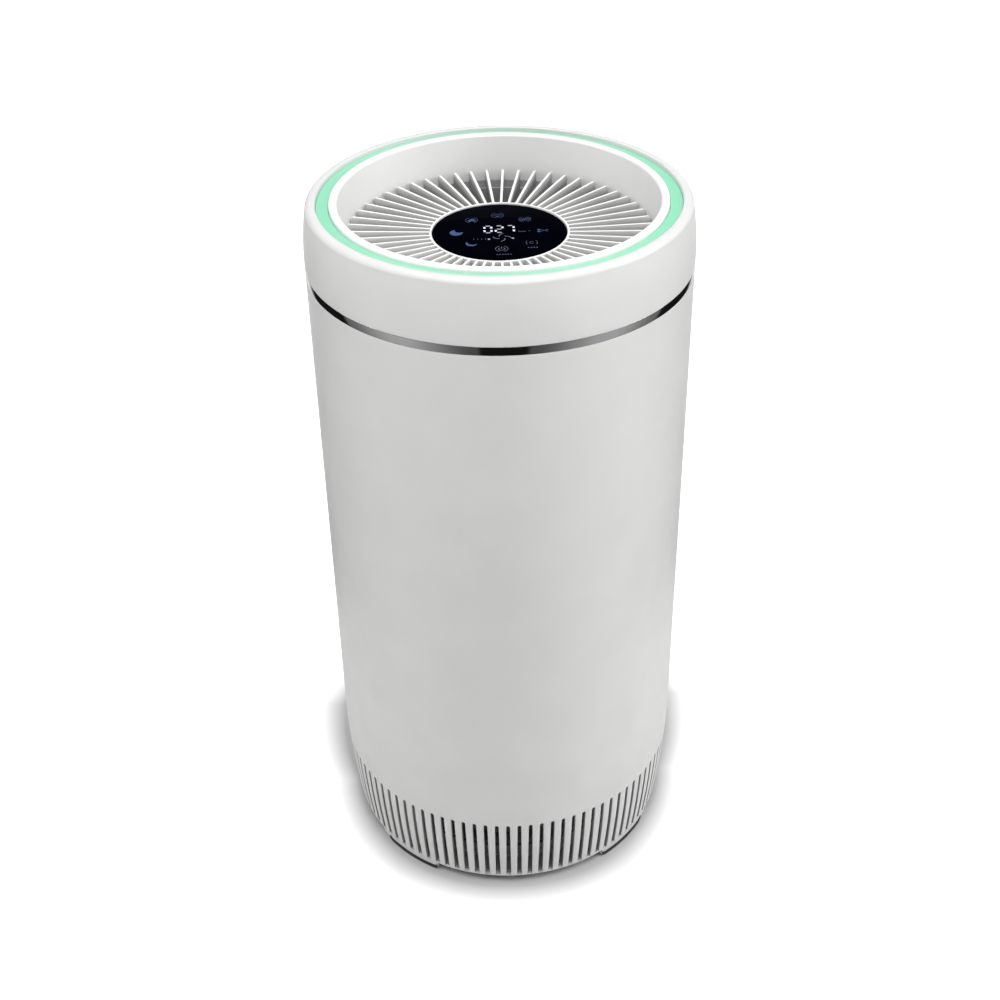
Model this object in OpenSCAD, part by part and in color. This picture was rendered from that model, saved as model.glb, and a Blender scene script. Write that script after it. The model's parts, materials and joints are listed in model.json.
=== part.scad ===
// Round tower air purifier: slotted base, twist-off filter cover, fan, grille and lit rim.
// Origin: centre of the footprint on the floor. +Z up, the front faces -Y.

/* [Overall] */
// Height from the floor to the top of the rim
total_h = 519; // [505:1:535]
// Largest radius of the casing
casing_r_max = 131; // [129:0.5:133]
// Radius of the casing and head at the trim band
band_r = 127.3; // [126:0.1:128]
// Radius of the casing's bottom edge
casing_r_bottom = 125.6; // [124.5:0.1:126.5]
// Wall of the casing and head shells
shell_t = 2.6; // [2.2:0.1:3]

/* [Inlet slots] */
// Number of slots round the base
slot_count = 96; // [60:4:120]
// Slot width at its round top
slot_w_top = 2.8; // [2:0.1:3.2]
// Slot width at its lower end
slot_w_bottom = 3.6; // [2.6:0.1:4.2]
// Height of the slot tops above the floor
slot_top_z = 70.6; // [54:0.1:84]

/* [Head] */
// Height of the trim band
band_h = 6; // [4:0.5:8]
// Height of the head above the trim band
head_h = 40.7; // [36:0.1:44]
// Outer radius of the light ring
light_r_out = 116.9; // [115:0.1:117.5]
// Inner radius of the light ring
light_r_in = 109.2; // [107.5:0.1:110]
// Depth of the light ring below the rim
light_recess = 2.6; // [0.5:0.1:3]
// Radius of the bowl's lip
lip_r = 103.3; // [102:0.1:104]

/* [Grille and display] */
// Number of grille blades
blade_count = 55; // [41:2:61]
// Blade thickness
blade_t = 1.6; // [1.2:0.1:2]
// Outer radius of the blades
blade_r_out = 100.9; // [98:0.1:101]
// Radius of the display glass
glass_r = 43.8; // [40:0.1:46]

/* [Filter] */
// Outer radius of the filter's end caps
filter_r = 97.5; // [94:0.1:98]
// Number of pleats in the media
pleat_count = 60; // [40:2:80]

/* [Base] */
// Number of feet
foot_count = 4; // [3:1:5]
// Angle that each foot covers
foot_angle = 27; // [15:1:30]
// Turn of the feet away from the front
foot_turn = 3; // [-10:1:10]
// Thickness of the rubber pads
pad_t = 2.4; // [1:0.1:3]

/* [Hidden] */
$fn = 96;

gap = 0.3;   // space between pieces that move past each other
fit = 0.03;  // radial space round a shaft, pin or screw
eps = 0.01;  // overlap that joins two shapes of one piece
white = "#e6e5e3";
dark = "#5c5c5e";
steel = "#b9bcc0";
board_green = "#2f6b45";

// Heights of the stack, from the floor up
casing_z0 = 8;
widest_z = 94;
band_z1 = total_h - head_h;
band_z0 = band_z1 - band_h;
floor_t = 3;
floor_top = casing_z0 + floor_t;
base_screw_z = casing_z0 - 2.6;
cover_z0 = casing_z0 - 3.1;
cover_plate_t = 2.5;
pocket_top = cover_z0 + 21;
filter_z0 = pocket_top + gap;
cap_t = 6;
deck_z0 = 326;
deck_t = 4;
deck_top = deck_z0 + deck_t;
seal_t = 3.9;
filter_z1 = deck_z0 - gap - seal_t;
duct_top = band_z1 + 8;
duct_ledge_z = duct_top - 5.2;
blade_top = duct_top + 8.3;
blade_z0 = duct_top - 7.5;
ledge_top = total_h - 10;
inlet_z = 96;
pin_x = 4.4;

// Radii of the inside
collar_r = 103.2;
collar_t = 2.4;
collar_top = casing_z0 + 11.4;
ledge_r = 100.3;
ledge_z0 = casing_z0 + 2.4;
ledge_t = 3;
cover_r = 99.4;
lug_angle = 22;
lug_t = 3;
entry_angle = 40;
lug_count = 4;
duct_r = 101;
duct_t = 2.5;
duct_ledge_r = duct_r - 1.7;
duct_screw_count = 6;
duct_screw_r = duct_r + 7;
deck_r = band_r - 3.1;
pod_r = 46.5;
eye_r = 62;
impeller_r = 90;
column_r = 113.5;
frame_hole_r = column_r + 3;
frame_screw_r = 1.9;
riser_r = 115.5;
board_t = 1.4;
board_w = 58;
foot_first = 45 + foot_turn;
foot_r_in = 111.5;
foot_r_out = casing_r_bottom - 1;
pocket_r = 42;

// Light ring's seat and the screws that join the bowl to the head
light_seat_r = 110.8;
bowl_flange_t = 1.9;
light_z0 = ledge_top + board_t + 1.2;
head_screw_count = 6;
head_screw_r = 108.6;
head_boss_z0 = ledge_top - 8;

// Motor, standing inside the pod
case_r = 33;
case_z0 = deck_z0 + 62;
case_z1 = case_z0 + 28;
case_floor_t = 7;
plate_t = 3;
shaft_r = 4;
bearing_r = 9;
bearing_h = 6;
motor_bolt_count = 4;
motor_bolt_r = 40.5;
bush_hole_r = 2.6;

// Safety switch and the plunger that one of the cover's lugs lifts
switch_azimuth = 120;
switch_r = 101.6;
plunger_r = 1.5;
plunger_tip = ledge_z0 + ledge_t + gap + lug_t + gap;
plunger_stop = collar_top + 3;

// Radius of the casing's outside at height z: a straight flare over a long arc that draws in
arc_drop = casing_r_max - casing_r_bottom;
arc_h = widest_z - casing_z0;
arc_r = (arc_h * arc_h + arc_drop * arc_drop) / (2 * arc_drop);
function casing_r(z) = z >= widest_z
    ? casing_r_max - (casing_r_max - band_r) * (z - widest_z) / (band_z0 - widest_z)
    : casing_r_max - arc_r + sqrt(arc_r * arc_r - (widest_z - z) * (widest_z - z));

// Radius of the head's outside at height z above the band: it draws in faster towards the rim
rim_fillet = 3.6;
head_draw = 3.3;
head_wall_h = head_h - rim_fillet;
function head_r(z) = band_r - head_draw * pow(z / head_wall_h, 2.2);

// Points of an arc about [x, y] from angle a0 to a1 in n steps
function arc_points(x, y, r, a0, a1, n) =
    [for (i = [0 : n]) let (a = a0 + (a1 - a0) * i / n) [x + r * cos(a), y + r * sin(a)]];

// A round ring standing on z
module ring(r_out, r_in, h, z = 0) {
    translate([0, 0, z])
        difference() {
            cylinder(r = r_out, h = h);
            translate([0, 0, -1]) cylinder(r = r_in, h = h + 2);
        }
}

// Part of a ring, centred on an azimuth counted from the front
module ring_piece(r_out, r_in, h, angle, azimuth = 0, z = 0) {
    rotate([0, 0, azimuth - 90 - angle / 2])
        translate([0, 0, z])
            rotate_extrude(angle = angle)
                translate([r_in, 0]) square([r_out - r_in, h]);
}

// Children moved out to radius r at an azimuth counted from the front
module at_azimuth(azimuth, r) {
    rotate([0, 0, azimuth]) translate([0, -r, 0]) children();
}

// Children repeated evenly round the axis
module around(count, r = 0, first = 0) {
    for (i = [0 : count - 1]) at_azimuth(first + 360 * i / count, r) children();
}

// A box centred on x and y
module slab(x, y, h, z = 0) {
    translate([-x / 2, -y / 2, z]) cube([x, y, h]);
}

// A pan head screw, head up, with its head resting on z = 0
module screw(shank_r, shank_l, head_r, head_t) {
    difference() {
        union() {
            translate([0, 0, -shank_l]) cylinder(r = shank_r, h = shank_l + eps, $fn = 24);
            cylinder(r1 = head_r, r2 = head_r * 0.8, h = head_t, $fn = 32);
        }
        slab(head_r * 1.1, 0.7, head_t, head_t * 0.5);
        slab(0.7, head_r * 1.1, head_t, head_t * 0.5);
    }
}

// Places that depend on the casing's outline
inlet_face = casing_r(inlet_z) - 1.6;
rear_board_z = deck_top + 20;

// ---- Casing and head ----

// Radial cutter for one inlet slot, its lower end square and its top round
module slot_cutter() {
    slot_z0 = casing_z0 + 1.2;
    arc_z = slot_top_z - slot_w_top / 2;
    translate([0, -casing_r_bottom + 12, 0])
        rotate([90, 0, 0])
            linear_extrude(height = 24) {
                polygon([
                    [-slot_w_bottom / 2, slot_z0], [slot_w_bottom / 2, slot_z0],
                    [slot_w_top / 2, arc_z], [-slot_w_top / 2, arc_z]
                ]);
                translate([0, arc_z]) circle(r = slot_w_top / 2, $fn = 24);
            }
}

// Outline of the casing's wall, from the bottom edge up and back down inside
module casing_outline() {
    steps = 8;
    outside = [for (i = [0 : steps]) let (z = casing_z0 + arc_h * i / steps) [casing_r(z), z]];
    inside = [for (i = [steps : -1 : 0]) let (z = casing_z0 + arc_h * i / steps)
        [casing_r(z) - shell_t, z]];
    neck_r = band_r - 3.1;
    neck_in = neck_r - 2.3;
    neck_top = band_z1 + 5;
    flange_r = 119;
    flange_z0 = band_z0 - 2.4;
    brace_z = band_z0 - 6;
    top = [
        [band_r, band_z0], [neck_r, band_z0], [neck_r, neck_top], [neck_in, neck_top],
        [neck_in, band_z0], [flange_r, band_z0], [flange_r, flange_z0],
        [casing_r(brace_z) - shell_t, brace_z]
    ];
    polygon(concat(outside, top, inside));
}

module outer_casing() {
    hole_w = 28.6;
    hole_h = 18.6;
    color(white)
        difference() {
            rotate_extrude($fn = 144) casing_outline();
            rotate([0, 0, 180 / slot_count]) around(slot_count) slot_cutter();
            at_azimuth(180, casing_r_max) slab(hole_w, 20, hole_h, inlet_z - hole_h / 2);
        }
}

// Trim ring in the groove between the casing and the head, with a small gap above and below
module chrome_band() {
    play = 0.2;
    color(steel) ring(band_r - 0.25, band_r - 3, band_h - 2 * play, band_z0 + play, $fn = 144);
}

// Outer wall and outer rim of the head, with the ledge under the light ring
module head_shell() {
    steps = 8;
    wall = [for (i = [0 : steps]) let (z = head_wall_h * i / steps) [head_r(z), band_z1 + z]];
    fillet_x = head_r(head_wall_h) - rim_fillet;
    fillet = arc_points(fillet_x, total_h - rim_fillet, rim_fillet, 15, 90, 5);
    groove_r = light_r_out + 0.3;
    edge = arc_points(groove_r + 0.8, total_h - 0.8, 0.8, 90, 180, 3);
    seat_z = ledge_top - bowl_flange_t;
    seat_r_in = 106.3;
    seat_t = 2;
    wall_r_in = band_r - 3;
    color(white)
        difference() {
            rotate_extrude($fn = 144)
                polygon(concat(
                    wall, fillet, edge,
                    [
                        [groove_r, ledge_top], [light_seat_r, ledge_top],
                        [light_seat_r, seat_z], [seat_r_in, seat_z],
                        [seat_r_in, seat_z - seat_t], [fillet_x, seat_z - seat_t],
                        [wall_r_in, band_z1 + 12], [wall_r_in, band_z1]
                    ]
                ));
            around(head_screw_count, head_screw_r)
                translate([0, 0, ledge_top - 5]) cylinder(r = 3.5, h = 8, $fn = 32);
        }
}

// Inner rim and bowl wall, with a flange that rests on the head shell's ledge
module outlet_bowl() {
    wall_t = 2.4;
    foot_r = duct_r + 0.2;
    lip_round = 2.1;
    lip = arc_points(lip_r + 0.2 + lip_round, total_h - lip_round, lip_round, 180, 90, 5);
    groove_r = light_r_in - 0.4;
    edge_round = 2;
    edge = arc_points(groove_r - edge_round, total_h - edge_round, edge_round, 90, 0, 4);
    flange_r = light_seat_r - 0.2;
    flange_z0 = ledge_top - bowl_flange_t;
    boss_r = 3.1;
    color(white)
        difference() {
            union() {
                rotate_extrude($fn = 144)
                    polygon(concat(
                        [[foot_r, duct_top]], lip, edge,
                        [
                            [groove_r, ledge_top], [flange_r, ledge_top], [flange_r, flange_z0],
                            [lip_r + 2.2, flange_z0], [foot_r + wall_t, duct_top]
                        ]
                    ));
                around(head_screw_count, head_screw_r)
                    translate([0, 0, head_boss_z0]) cylinder(r = boss_r, h = 7, $fn = 32);
            }
            around(head_screw_count, head_screw_r)
                translate([0, 0, head_boss_z0 - 1]) cylinder(r = 1.2, h = 7.5, $fn = 24);
        }
}

module head_screws() {
    color(steel)
        around(head_screw_count, head_screw_r)
            translate([0, 0, head_boss_z0]) mirror([0, 0, 1]) screw(1.15, 6, 2.9, 1.8);
}

module light_ring() {
    light_h = total_h - light_recess - light_z0;
    edge = 0.4;
    color("#a0ecce")
        translate([0, 0, light_z0])
            rotate_extrude($fn = 144)
                polygon([
                    [light_r_in, 0], [light_r_out, 0], [light_r_out, light_h - edge],
                    [light_r_out - edge, light_h], [light_r_in + edge, light_h],
                    [light_r_in, light_h - edge]
                ]);
}

// Ring board with the light ring's LEDs
module light_ring_board() {
    led_count = 36;
    led_h = 0.9;
    led_z = ledge_top + board_t - eps;
    color(board_green) {
        ring(light_r_out - 0.2, light_r_in + 0.1, board_t, ledge_top, $fn = 144);
        around(led_count, (light_r_in + light_r_out) / 2) slab(3, 2.4, led_h + eps, led_z);
    }
}

// ---- Grille and display ----

bezel_r = glass_r + 0.4;
bezel_t = 1.5;
bezel_top = blade_top - 1.1;
glass_t = 2.5;
glass_z0 = bezel_top - 0.8 - glass_t;
display_screw_r = 34;
lead_r = 26;
ribbon_z = blade_z0 - 2;
display_board_z = blade_z0 + 7;

// Side outline of one blade, running outwards along +X
module blade_outline() {
    root_r = bezel_r + bezel_t / 2;
    notch_r = duct_ledge_r - 0.7;
    tongue_r = duct_r - 0.4;
    polygon([
        [root_r, blade_z0], [notch_r, blade_z0], [notch_r, duct_ledge_z],
        [tongue_r, duct_ledge_z], [tongue_r, duct_top - 1], [blade_r_out, duct_top + 1],
        [blade_r_out, blade_top - 1.4], [blade_r_out - 1.2, blade_top], [root_r, bezel_top - 0.2]
    ]);
}

// Radial blades on a hub that holds the display; one blade points straight to the front
module outlet_grille() {
    color(white) {
        ring(bezel_r + bezel_t, bezel_r, bezel_top - blade_z0, blade_z0);
        difference() {
            ring(bezel_r + eps, 30, 2, blade_z0);
            around(4, display_screw_r, 45)
                translate([0, 0, blade_z0 - 1]) cylinder(r = 1.4, h = 4, $fn = 24);
        }
        around(blade_count)
            rotate([0, 0, -90]) rotate([90, 0, 0])
                translate([0, 0, -blade_t / 2]) linear_extrude(height = blade_t) blade_outline();
    }
}

module display_glass() {
    edge = 0.4;
    color("#08080c")
        translate([0, 0, glass_z0]) {
            cylinder(r = glass_r, h = glass_t - edge);
            translate([0, 0, glass_t - edge]) cylinder(r1 = glass_r, r2 = glass_r - edge, h = edge);
        }
}

// Cup under the glass, standing on the grille's inner flange
module display_housing() {
    cup_z0 = blade_z0 + 2;
    wall_t = 2;
    color("#26262a")
        difference() {
            translate([0, 0, cup_z0]) cylinder(r = glass_r, h = glass_z0 - cup_z0);
            translate([0, 0, cup_z0 + wall_t]) cylinder(r = glass_r - wall_t, h = 30);
            around(4, display_screw_r, 45)
                translate([0, 0, cup_z0 - 1]) cylinder(r = 1.2 + fit, h = 5, $fn = 24);
            at_azimuth(90, lead_r) slab(7, 2.4, 6, cup_z0 - 1);
        }
}

// Display board with the digit block, the symbol lights and its connector
module display_board() {
    post_z0 = blade_z0 + 4;
    post_h = display_board_z - post_z0;
    face_z = display_board_z + board_t - eps;
    color(board_green) {
        ring(glass_r - 2.2, 3, board_t, display_board_z);
        translate([0, 5, 0]) slab(32, 13, 3, face_z);
        around(8, 28, 22.5) slab(4, 4, 2, face_z);
        around(4, 37, 45) translate([0, 0, post_z0]) cylinder(r = 2.4, h = post_h + eps, $fn = 24);
    }
}

module display_screws() {
    color(steel)
        around(4, display_screw_r, 45)
            translate([0, 0, blade_z0]) mirror([0, 0, 1]) screw(1.2, 4, 2.5, 1.6);
}

// ---- Fan duct and fan ----

vane_count = 11;
vane_z0 = deck_z0 + 78;
vane_h = 34;
pod_z0 = deck_z0 + 59;
pod_z1 = blade_z0 - 8;
lead_z = pod_z1 - 6;

// Cutter for the hole that the motor's lead takes through a wall of radius r
module lead_hole(r) {
    at_azimuth(90, r) rotate([90, 0, 0]) translate([0, lead_z, -8]) cylinder(r = 3.2, h = 20, $fn = 32);
}

// Flat outline of a vane that leaves radius r0 straight outwards and then bends over
module curved_vane(r0, bend_r, t) {
    intersection() {
        translate([-bend_r, -r0]) difference() {
            circle(r = bend_r + t / 2);
            circle(r = bend_r - t / 2);
        }
        translate([-50, -110]) square([55, 110 - r0 / 2]);
    }
}

// Duct wall with a mounting flange, a ledge under the grille and rails for the boards
module fan_duct() {
    ledge_h = 30;
    flange_t = 2.5;
    rail_w = 3;
    rail_l = 18.4;
    rail_h = 100;
    rail_r = 106.8;
    rail_x = board_w / 2 + rail_w / 2 + 0.1;
    color(dark)
        difference() {
            union() {
                ring(duct_r + duct_t, duct_r, duct_top - deck_top, deck_top);
                ring(duct_r + 11, duct_r + eps, flange_t, deck_top);
                ring(duct_r + eps, duct_ledge_r, ledge_h, duct_ledge_z - ledge_h);
                for (side = [90, 180], turn = [-1, 1])
                    at_azimuth(side, rail_r)
                        translate([turn * rail_x, 0, 0]) slab(rail_w, rail_l, rail_h, deck_top + 10);
            }
            around(duct_screw_count, duct_screw_r, 30)
                translate([0, 0, deck_top - 1]) cylinder(r = 1.9, h = 5, $fn = 24);
            lead_hole(duct_r);
            at_azimuth(90, duct_r) slab(7, 10, 2.4, ribbon_z - 0.6);
            at_azimuth(180, riser_r - 0.5) slab(9, 10, 8, deck_top - 2);
        }
}

// Motor pod in the middle of the duct, held by curved vanes
module guide_vanes() {
    wall_t = 2.4;
    shelf_z = case_z1 + plate_t + 1;
    shelf_t = 2.5;
    color(dark)
        difference() {
            union() {
                difference() {
                    translate([0, 0, pod_z0]) cylinder(r = pod_r, h = pod_z1 - pod_z0);
                    translate([0, 0, pod_z0 - 1])
                        cylinder(r = pod_r - wall_t, h = pod_z1 - pod_z0 - wall_t + 1);
                }
                ring(pod_r - 2, 38, shelf_t, shelf_z);
                ring(duct_r - 0.1, duct_r - 2.2, vane_h, vane_z0);
                translate([0, 0, vane_z0])
                    linear_extrude(height = vane_h)
                        intersection() {
                            around(vane_count) curved_vane(pod_r, 90, 2);
                            difference() {
                                circle(r = duct_r - 1);
                                circle(r = pod_r - 1);
                            }
                        }
            }
            around(motor_bolt_count, motor_bolt_r, 45)
                translate([0, 0, shelf_z - 1]) cylinder(r = bush_hole_r, h = shelf_t + 2, $fn = 24);
            lead_hole(pod_r);
        }
}

module duct_screws() {
    color(steel)
        around(duct_screw_count, duct_screw_r, 30)
            translate([0, 0, deck_top + 2.5]) screw(1.8, 8, 3.4, 2);
}

// Cutter for the square hole that the mains lead rises through
module riser_hole(z) {
    side = 7.4;
    at_azimuth(180, riser_r) slab(side, side, 10, z);
}

// Deck between the filter chamber and the fan, with a bellmouth that reaches into the impeller
module fan_deck() {
    mouth_r = eye_r - 4;
    mouth_h = 6;
    color(dark)
        difference() {
            union() {
                ring(deck_r, mouth_r, deck_t, deck_z0);
                rotate_extrude()
                    polygon([
                        [mouth_r, deck_top - 1], [mouth_r, deck_top + mouth_h],
                        [mouth_r + 2, deck_top + mouth_h], [mouth_r + 6, deck_top - 1]
                    ]);
            }
            around(duct_screw_count, duct_screw_r, 30)
                translate([0, 0, deck_z0 - 1]) cylinder(r = 1.8 + fit, h = 8, $fn = 24);
            around(foot_count, frame_hole_r, foot_first)
                translate([0, 0, deck_z0 - 1]) cylinder(r = frame_screw_r + 0.4, h = 8, $fn = 24);
            riser_hole(deck_z0 - 1);
        }
}

module deck_seal() {
    color("#2b2b2d") ring(casing_r(deck_z0) - shell_t - 0.1, deck_r, deck_t - 1, deck_z0 + 0.5);
}

module deck_screws() {
    color(steel)
        around(foot_count, frame_hole_r, foot_first)
            translate([0, 0, deck_top]) screw(frame_screw_r, 16, 3.8, 2.2);
}

module motor_case() {
    color(steel)
        difference() {
            translate([0, 0, case_z0]) cylinder(r = case_r, h = case_z1 - case_z0);
            translate([0, 0, case_z0 + case_floor_t]) cylinder(r = case_r - 2, h = 40);
            translate([0, 0, case_z0 - 1]) cylinder(r = bearing_r, h = 20);
        }
}

module motor_winding() {
    teeth = 9;
    winding_h = 11;
    color("#b46a32")
        difference() {
            ring(case_r - 2.1, 23, winding_h, case_z0 + case_floor_t);
            around(teeth, 26, 10)
                translate([0, 0, case_z0 + case_floor_t - 1]) cylinder(r = 1.4, h = winding_h + 2, $fn = 24);
        }
}

// Plate that closes the motor and hangs it from the pod's flange
module motor_plate() {
    boss_h = 9;
    color(steel)
        difference() {
            union() {
                translate([0, 0, case_z1]) cylinder(r = motor_bolt_r + 3, h = plate_t);
                translate([0, 0, case_z1 - boss_h]) cylinder(r = bearing_r + 3, h = boss_h + eps);
            }
            translate([0, 0, case_z1 - boss_h - 1]) cylinder(r = bearing_r, h = boss_h - 1);
            around(motor_bolt_count, motor_bolt_r, 45)
                translate([0, 0, case_z1 - 1]) cylinder(r = bush_hole_r, h = 6, $fn = 24);
        }
}

// Rubber bushes between the plate and the pod's shelf
module motor_bushes() {
    bolt_hole_r = 1.7;
    color("#222222")
        around(motor_bolt_count, motor_bolt_r, 45) {
            ring(bush_hole_r - 0.1, bolt_hole_r, 5.4, case_z1 + 0.2, $fn = 32);
            ring(bush_hole_r + 0.8, bolt_hole_r, 1, case_z1 + plate_t, $fn = 32);
        }
}

module motor_bearings() {
    race_t = 1.8;
    color(steel)
        for (z = [case_z0, case_z1 - bearing_h - 3]) {
            ring(bearing_r - 0.02, bearing_r - race_t, bearing_h, z, $fn = 48);
            ring(bearing_r - race_t + eps, shaft_r + race_t - eps, bearing_h - 1.6, z + 0.8, $fn = 48);
            ring(shaft_r + race_t, shaft_r + 0.05, bearing_h, z, $fn = 48);
        }
}

module motor_screws() {
    color(steel)
        around(motor_bolt_count, motor_bolt_r, 45)
            translate([0, 0, case_z1 + plate_t + 3.5]) screw(1.6, 9, 3.2, 1.8);
}

// Lead that rises from the motor's plate and runs out to the control board
module motor_lead() {
    lead_radius = 2.4;
    run = 76.5;
    plate_top = case_z1 + plate_t;
    color("#303034")
        at_azimuth(90, case_r + 2) {
            rotate([90, 0, 0]) translate([0, lead_z, 0]) cylinder(r = lead_radius, h = run, $fn = 32);
            translate([0, 0, plate_top]) cylinder(r = lead_radius, h = lead_z - plate_top, $fn = 32);
            translate([0, 0, lead_z]) sphere(r = lead_radius + 0.3, $fn = 32);
        }
}

// Backward-curved impeller: hub, back plate, blades and a lower shroud ring round the eye
module impeller() {
    shroud_z = deck_top + 5;
    plate_z = case_z0 - 10;
    disc_t = 2.5;
    hub_h = 24;
    fan_blades = 9;
    color("#d9d9d9")
        difference() {
            union() {
                translate([0, 0, plate_z]) cylinder(r = impeller_r, h = disc_t);
                translate([0, 0, plate_z - hub_h]) cylinder(r = 10, h = hub_h + eps);
                ring(impeller_r, eye_r + 1.5, disc_t, shroud_z);
                translate([0, 0, shroud_z + disc_t - eps])
                    linear_extrude(height = plate_z - shroud_z - disc_t + 2 * eps)
                        intersection() {
                            around(fan_blades) curved_vane(58, 36, 1.6);
                            difference() {
                                circle(r = impeller_r - 1);
                                circle(r = eye_r + 3);
                            }
                        }
            }
            translate([0, 0, plate_z - 30]) cylinder(r = shaft_r + 0.02, h = 60, $fn = 48);
        }
}

module motor_shaft() {
    shaft_z0 = deck_z0 + 19;
    shaft_z1 = case_z1 - 3;
    color(steel) translate([0, 0, shaft_z0]) cylinder(r = shaft_r, h = shaft_z1 - shaft_z0, $fn = 48);
}

module motor_rotor() {
    color("#6d6f73") ring(22.4, shaft_r + 0.02, 10, case_z0 + case_floor_t + 0.5);
}

module impeller_nut() {
    nut_h = 5;
    nut_z0 = deck_z0 + 23;
    color(steel)
        difference() {
            translate([0, 0, nut_z0]) cylinder(r = 8, h = nut_h, $fn = 6);
            translate([0, 0, nut_z0 - 1]) cylinder(r = shaft_r + 0.02, h = nut_h + 3, $fn = 48);
        }
}

// Ribbon that drops from the display board and runs out under the blades
module display_lead() {
    ribbon_l = 86;
    ribbon_w = 6;
    ribbon_t = 1;
    color("#d8d4c8") {
        at_azimuth(90, lead_r + ribbon_l / 2) slab(ribbon_w, ribbon_l, ribbon_t, ribbon_z);
        at_azimuth(90, lead_r + ribbon_t / 2) slab(ribbon_w, ribbon_t, display_board_z - ribbon_z, ribbon_z);
    }
}

// ---- Electronics ----

// An upright board with a row of components, facing outwards at radius r
module upright_board(azimuth, parts) {
    board_h = 86;
    face_r = 111;
    color(board_green)
        at_azimuth(azimuth, face_r) {
            translate([-board_w / 2, -board_t, rear_board_z]) cube([board_w, board_t, board_h]);
            for (p = parts)
                translate([p[0] - p[2] / 2, -board_t - p[4], rear_board_z + p[1]])
                    cube([p[2], p[4] + eps, p[3]]);
        }
}

// Components are [centre, height above the board's lower edge, width, height, depth]
module control_board() {
    upright_board(90, [
        [0, 52, 16, 16, 2], [-16, 30, 10, 8, 4], [14, 28, 12, 14, 7], [-12, 6, 14, 8, 6],
        [12, 6, 12, 8, 6], [-20, 66, 6, 12, 5]
    ]);
}

module power_board() {
    upright_board(180, [
        [-12, 44, 20, 22, 8], [14, 46, 14, 26, 8], [-14, 12, 16, 20, 8], [12, 14, 10, 14, 7],
        [0, 2, 10, 8, 6]
    ]);
}

// Two-pin mains socket set into the back of the casing
module power_inlet() {
    body_w = 28;
    body_h = 18;
    depth = 22;
    cavity = 14;
    lobe_r = 4.2;
    slot_h = 2 * lobe_r - 0.8;
    color("#1c1c1e")
        difference() {
            translate([-body_w / 2, inlet_face - depth, inlet_z - body_h / 2]) cube([body_w, depth, body_h]);
            translate([0, inlet_face + 1, inlet_z]) rotate([90, 0, 0]) {
                for (side = [-1, 1])
                    translate([side * pin_x, 0, 0]) cylinder(r = lobe_r, h = cavity + 1, $fn = 48);
                translate([-pin_x, -slot_h / 2, 0]) cube([2 * pin_x, slot_h, cavity + 1]);
            }
            for (side = [-1, 1])
                translate([side * pin_x, inlet_face - cavity + 1, inlet_z]) rotate([90, 0, 0])
                    cylinder(r = 1.2, h = 4, $fn = 24);
        }
}

module inlet_pins() {
    color(steel)
        for (side = [-1, 1])
            translate([side * pin_x, inlet_face - 3, inlet_z])
                rotate([90, 0, 0]) cylinder(r = 1.18, h = 13.8, $fn = 24);
}

module mains_lead() {
    lead_z0 = inlet_z + 9;
    color("#303034")
        at_azimuth(180, riser_r)
            translate([0, 0, lead_z0]) cylinder(r = 3, h = rear_board_z - lead_z0 + 2, $fn = 32);
}

// Particle sensor with its air hole, hung in the air gap under the deck
module dust_sensor() {
    sensor_h = 32;
    sensor_z = deck_z0 - 37;
    hole_z = sensor_z + sensor_h / 2;
    color("#3a3a3e")
        at_azimuth(154, 112) difference() {
            slab(40, 16, sensor_h, sensor_z);
            rotate([90, 0, 0]) translate([8, hole_z, -10]) cylinder(r = 5, h = 20, $fn = 32);
            translate([-10, -9, sensor_z + 5]) cube([8, 4, 20]);
        }
}

// ---- Chamber, base and cover ----

// Four columns that carry the deck, joined by a ring under it
module chamber_frame() {
    ring_t = 4;
    ring_z0 = deck_z0 - ring_t;
    column_w = 16;
    column_l = 11;
    color(white)
        difference() {
            union() {
                ring(band_r - 6, column_r - 1.5, ring_t, ring_z0);
                around(foot_count, column_r, foot_first)
                    slab(column_w, column_l, ring_z0 - floor_top + eps, floor_top);
            }
            around(foot_count, frame_hole_r, foot_first) {
                translate([0, 0, deck_z0 - 18]) cylinder(r = frame_screw_r + fit, h = 30, $fn = 24);
                translate([0, 0, floor_top - 1]) cylinder(r = frame_screw_r + fit, h = 22, $fn = 24);
            }
            riser_hole(ring_z0 - 1);
        }
}

// Floor ring with the feet, spokes and the collar that the cover locks into
module base_ring() {
    rim_r = casing_r_bottom - shell_t - gap;
    floor_r_in = 110;
    collar_r_out = collar_r + collar_t;
    spoke_count = 12;
    spoke_l = floor_r_in - collar_r_out + 1;
    ledge_angle = 360 / lug_count - entry_angle;
    foot_top = casing_z0 - gap;
    head_hole_r = 4.2;
    shank_hole_r = 2.2;
    color(white)
        difference() {
            union() {
                ring(rim_r, floor_r_in, floor_t, casing_z0, $fn = 144);
                ring(collar_r_out, collar_r, collar_top - casing_z0, casing_z0, $fn = 144);
                around(spoke_count, (floor_r_in + collar_r_out) / 2, foot_first)
                    slab(4, spoke_l, floor_t, casing_z0);
                for (i = [0 : lug_count - 1])
                    ring_piece(collar_r + 0.2, ledge_r, ledge_t, ledge_angle, 45 + 90 * i, ledge_z0);
                for (i = [0 : foot_count - 1])
                    rotate([0, 0, foot_first + 360 * i / foot_count - 90 - foot_angle / 2])
                        rotate_extrude(angle = foot_angle)
                            polygon([
                                [foot_r_in, pad_t], [foot_r_out, pad_t], [casing_r_bottom - 0.4, foot_top],
                                [rim_r - 1, foot_top], [rim_r - 1, casing_z0 + 1], [foot_r_in, casing_z0 + 1]
                            ]);
            }
            around(foot_count, frame_hole_r, foot_first) {
                translate([0, 0, -1]) cylinder(r = head_hole_r, h = base_screw_z + 1, $fn = 32);
                cylinder(r = shank_hole_r, h = 20, $fn = 24);
            }
        }
}

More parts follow.
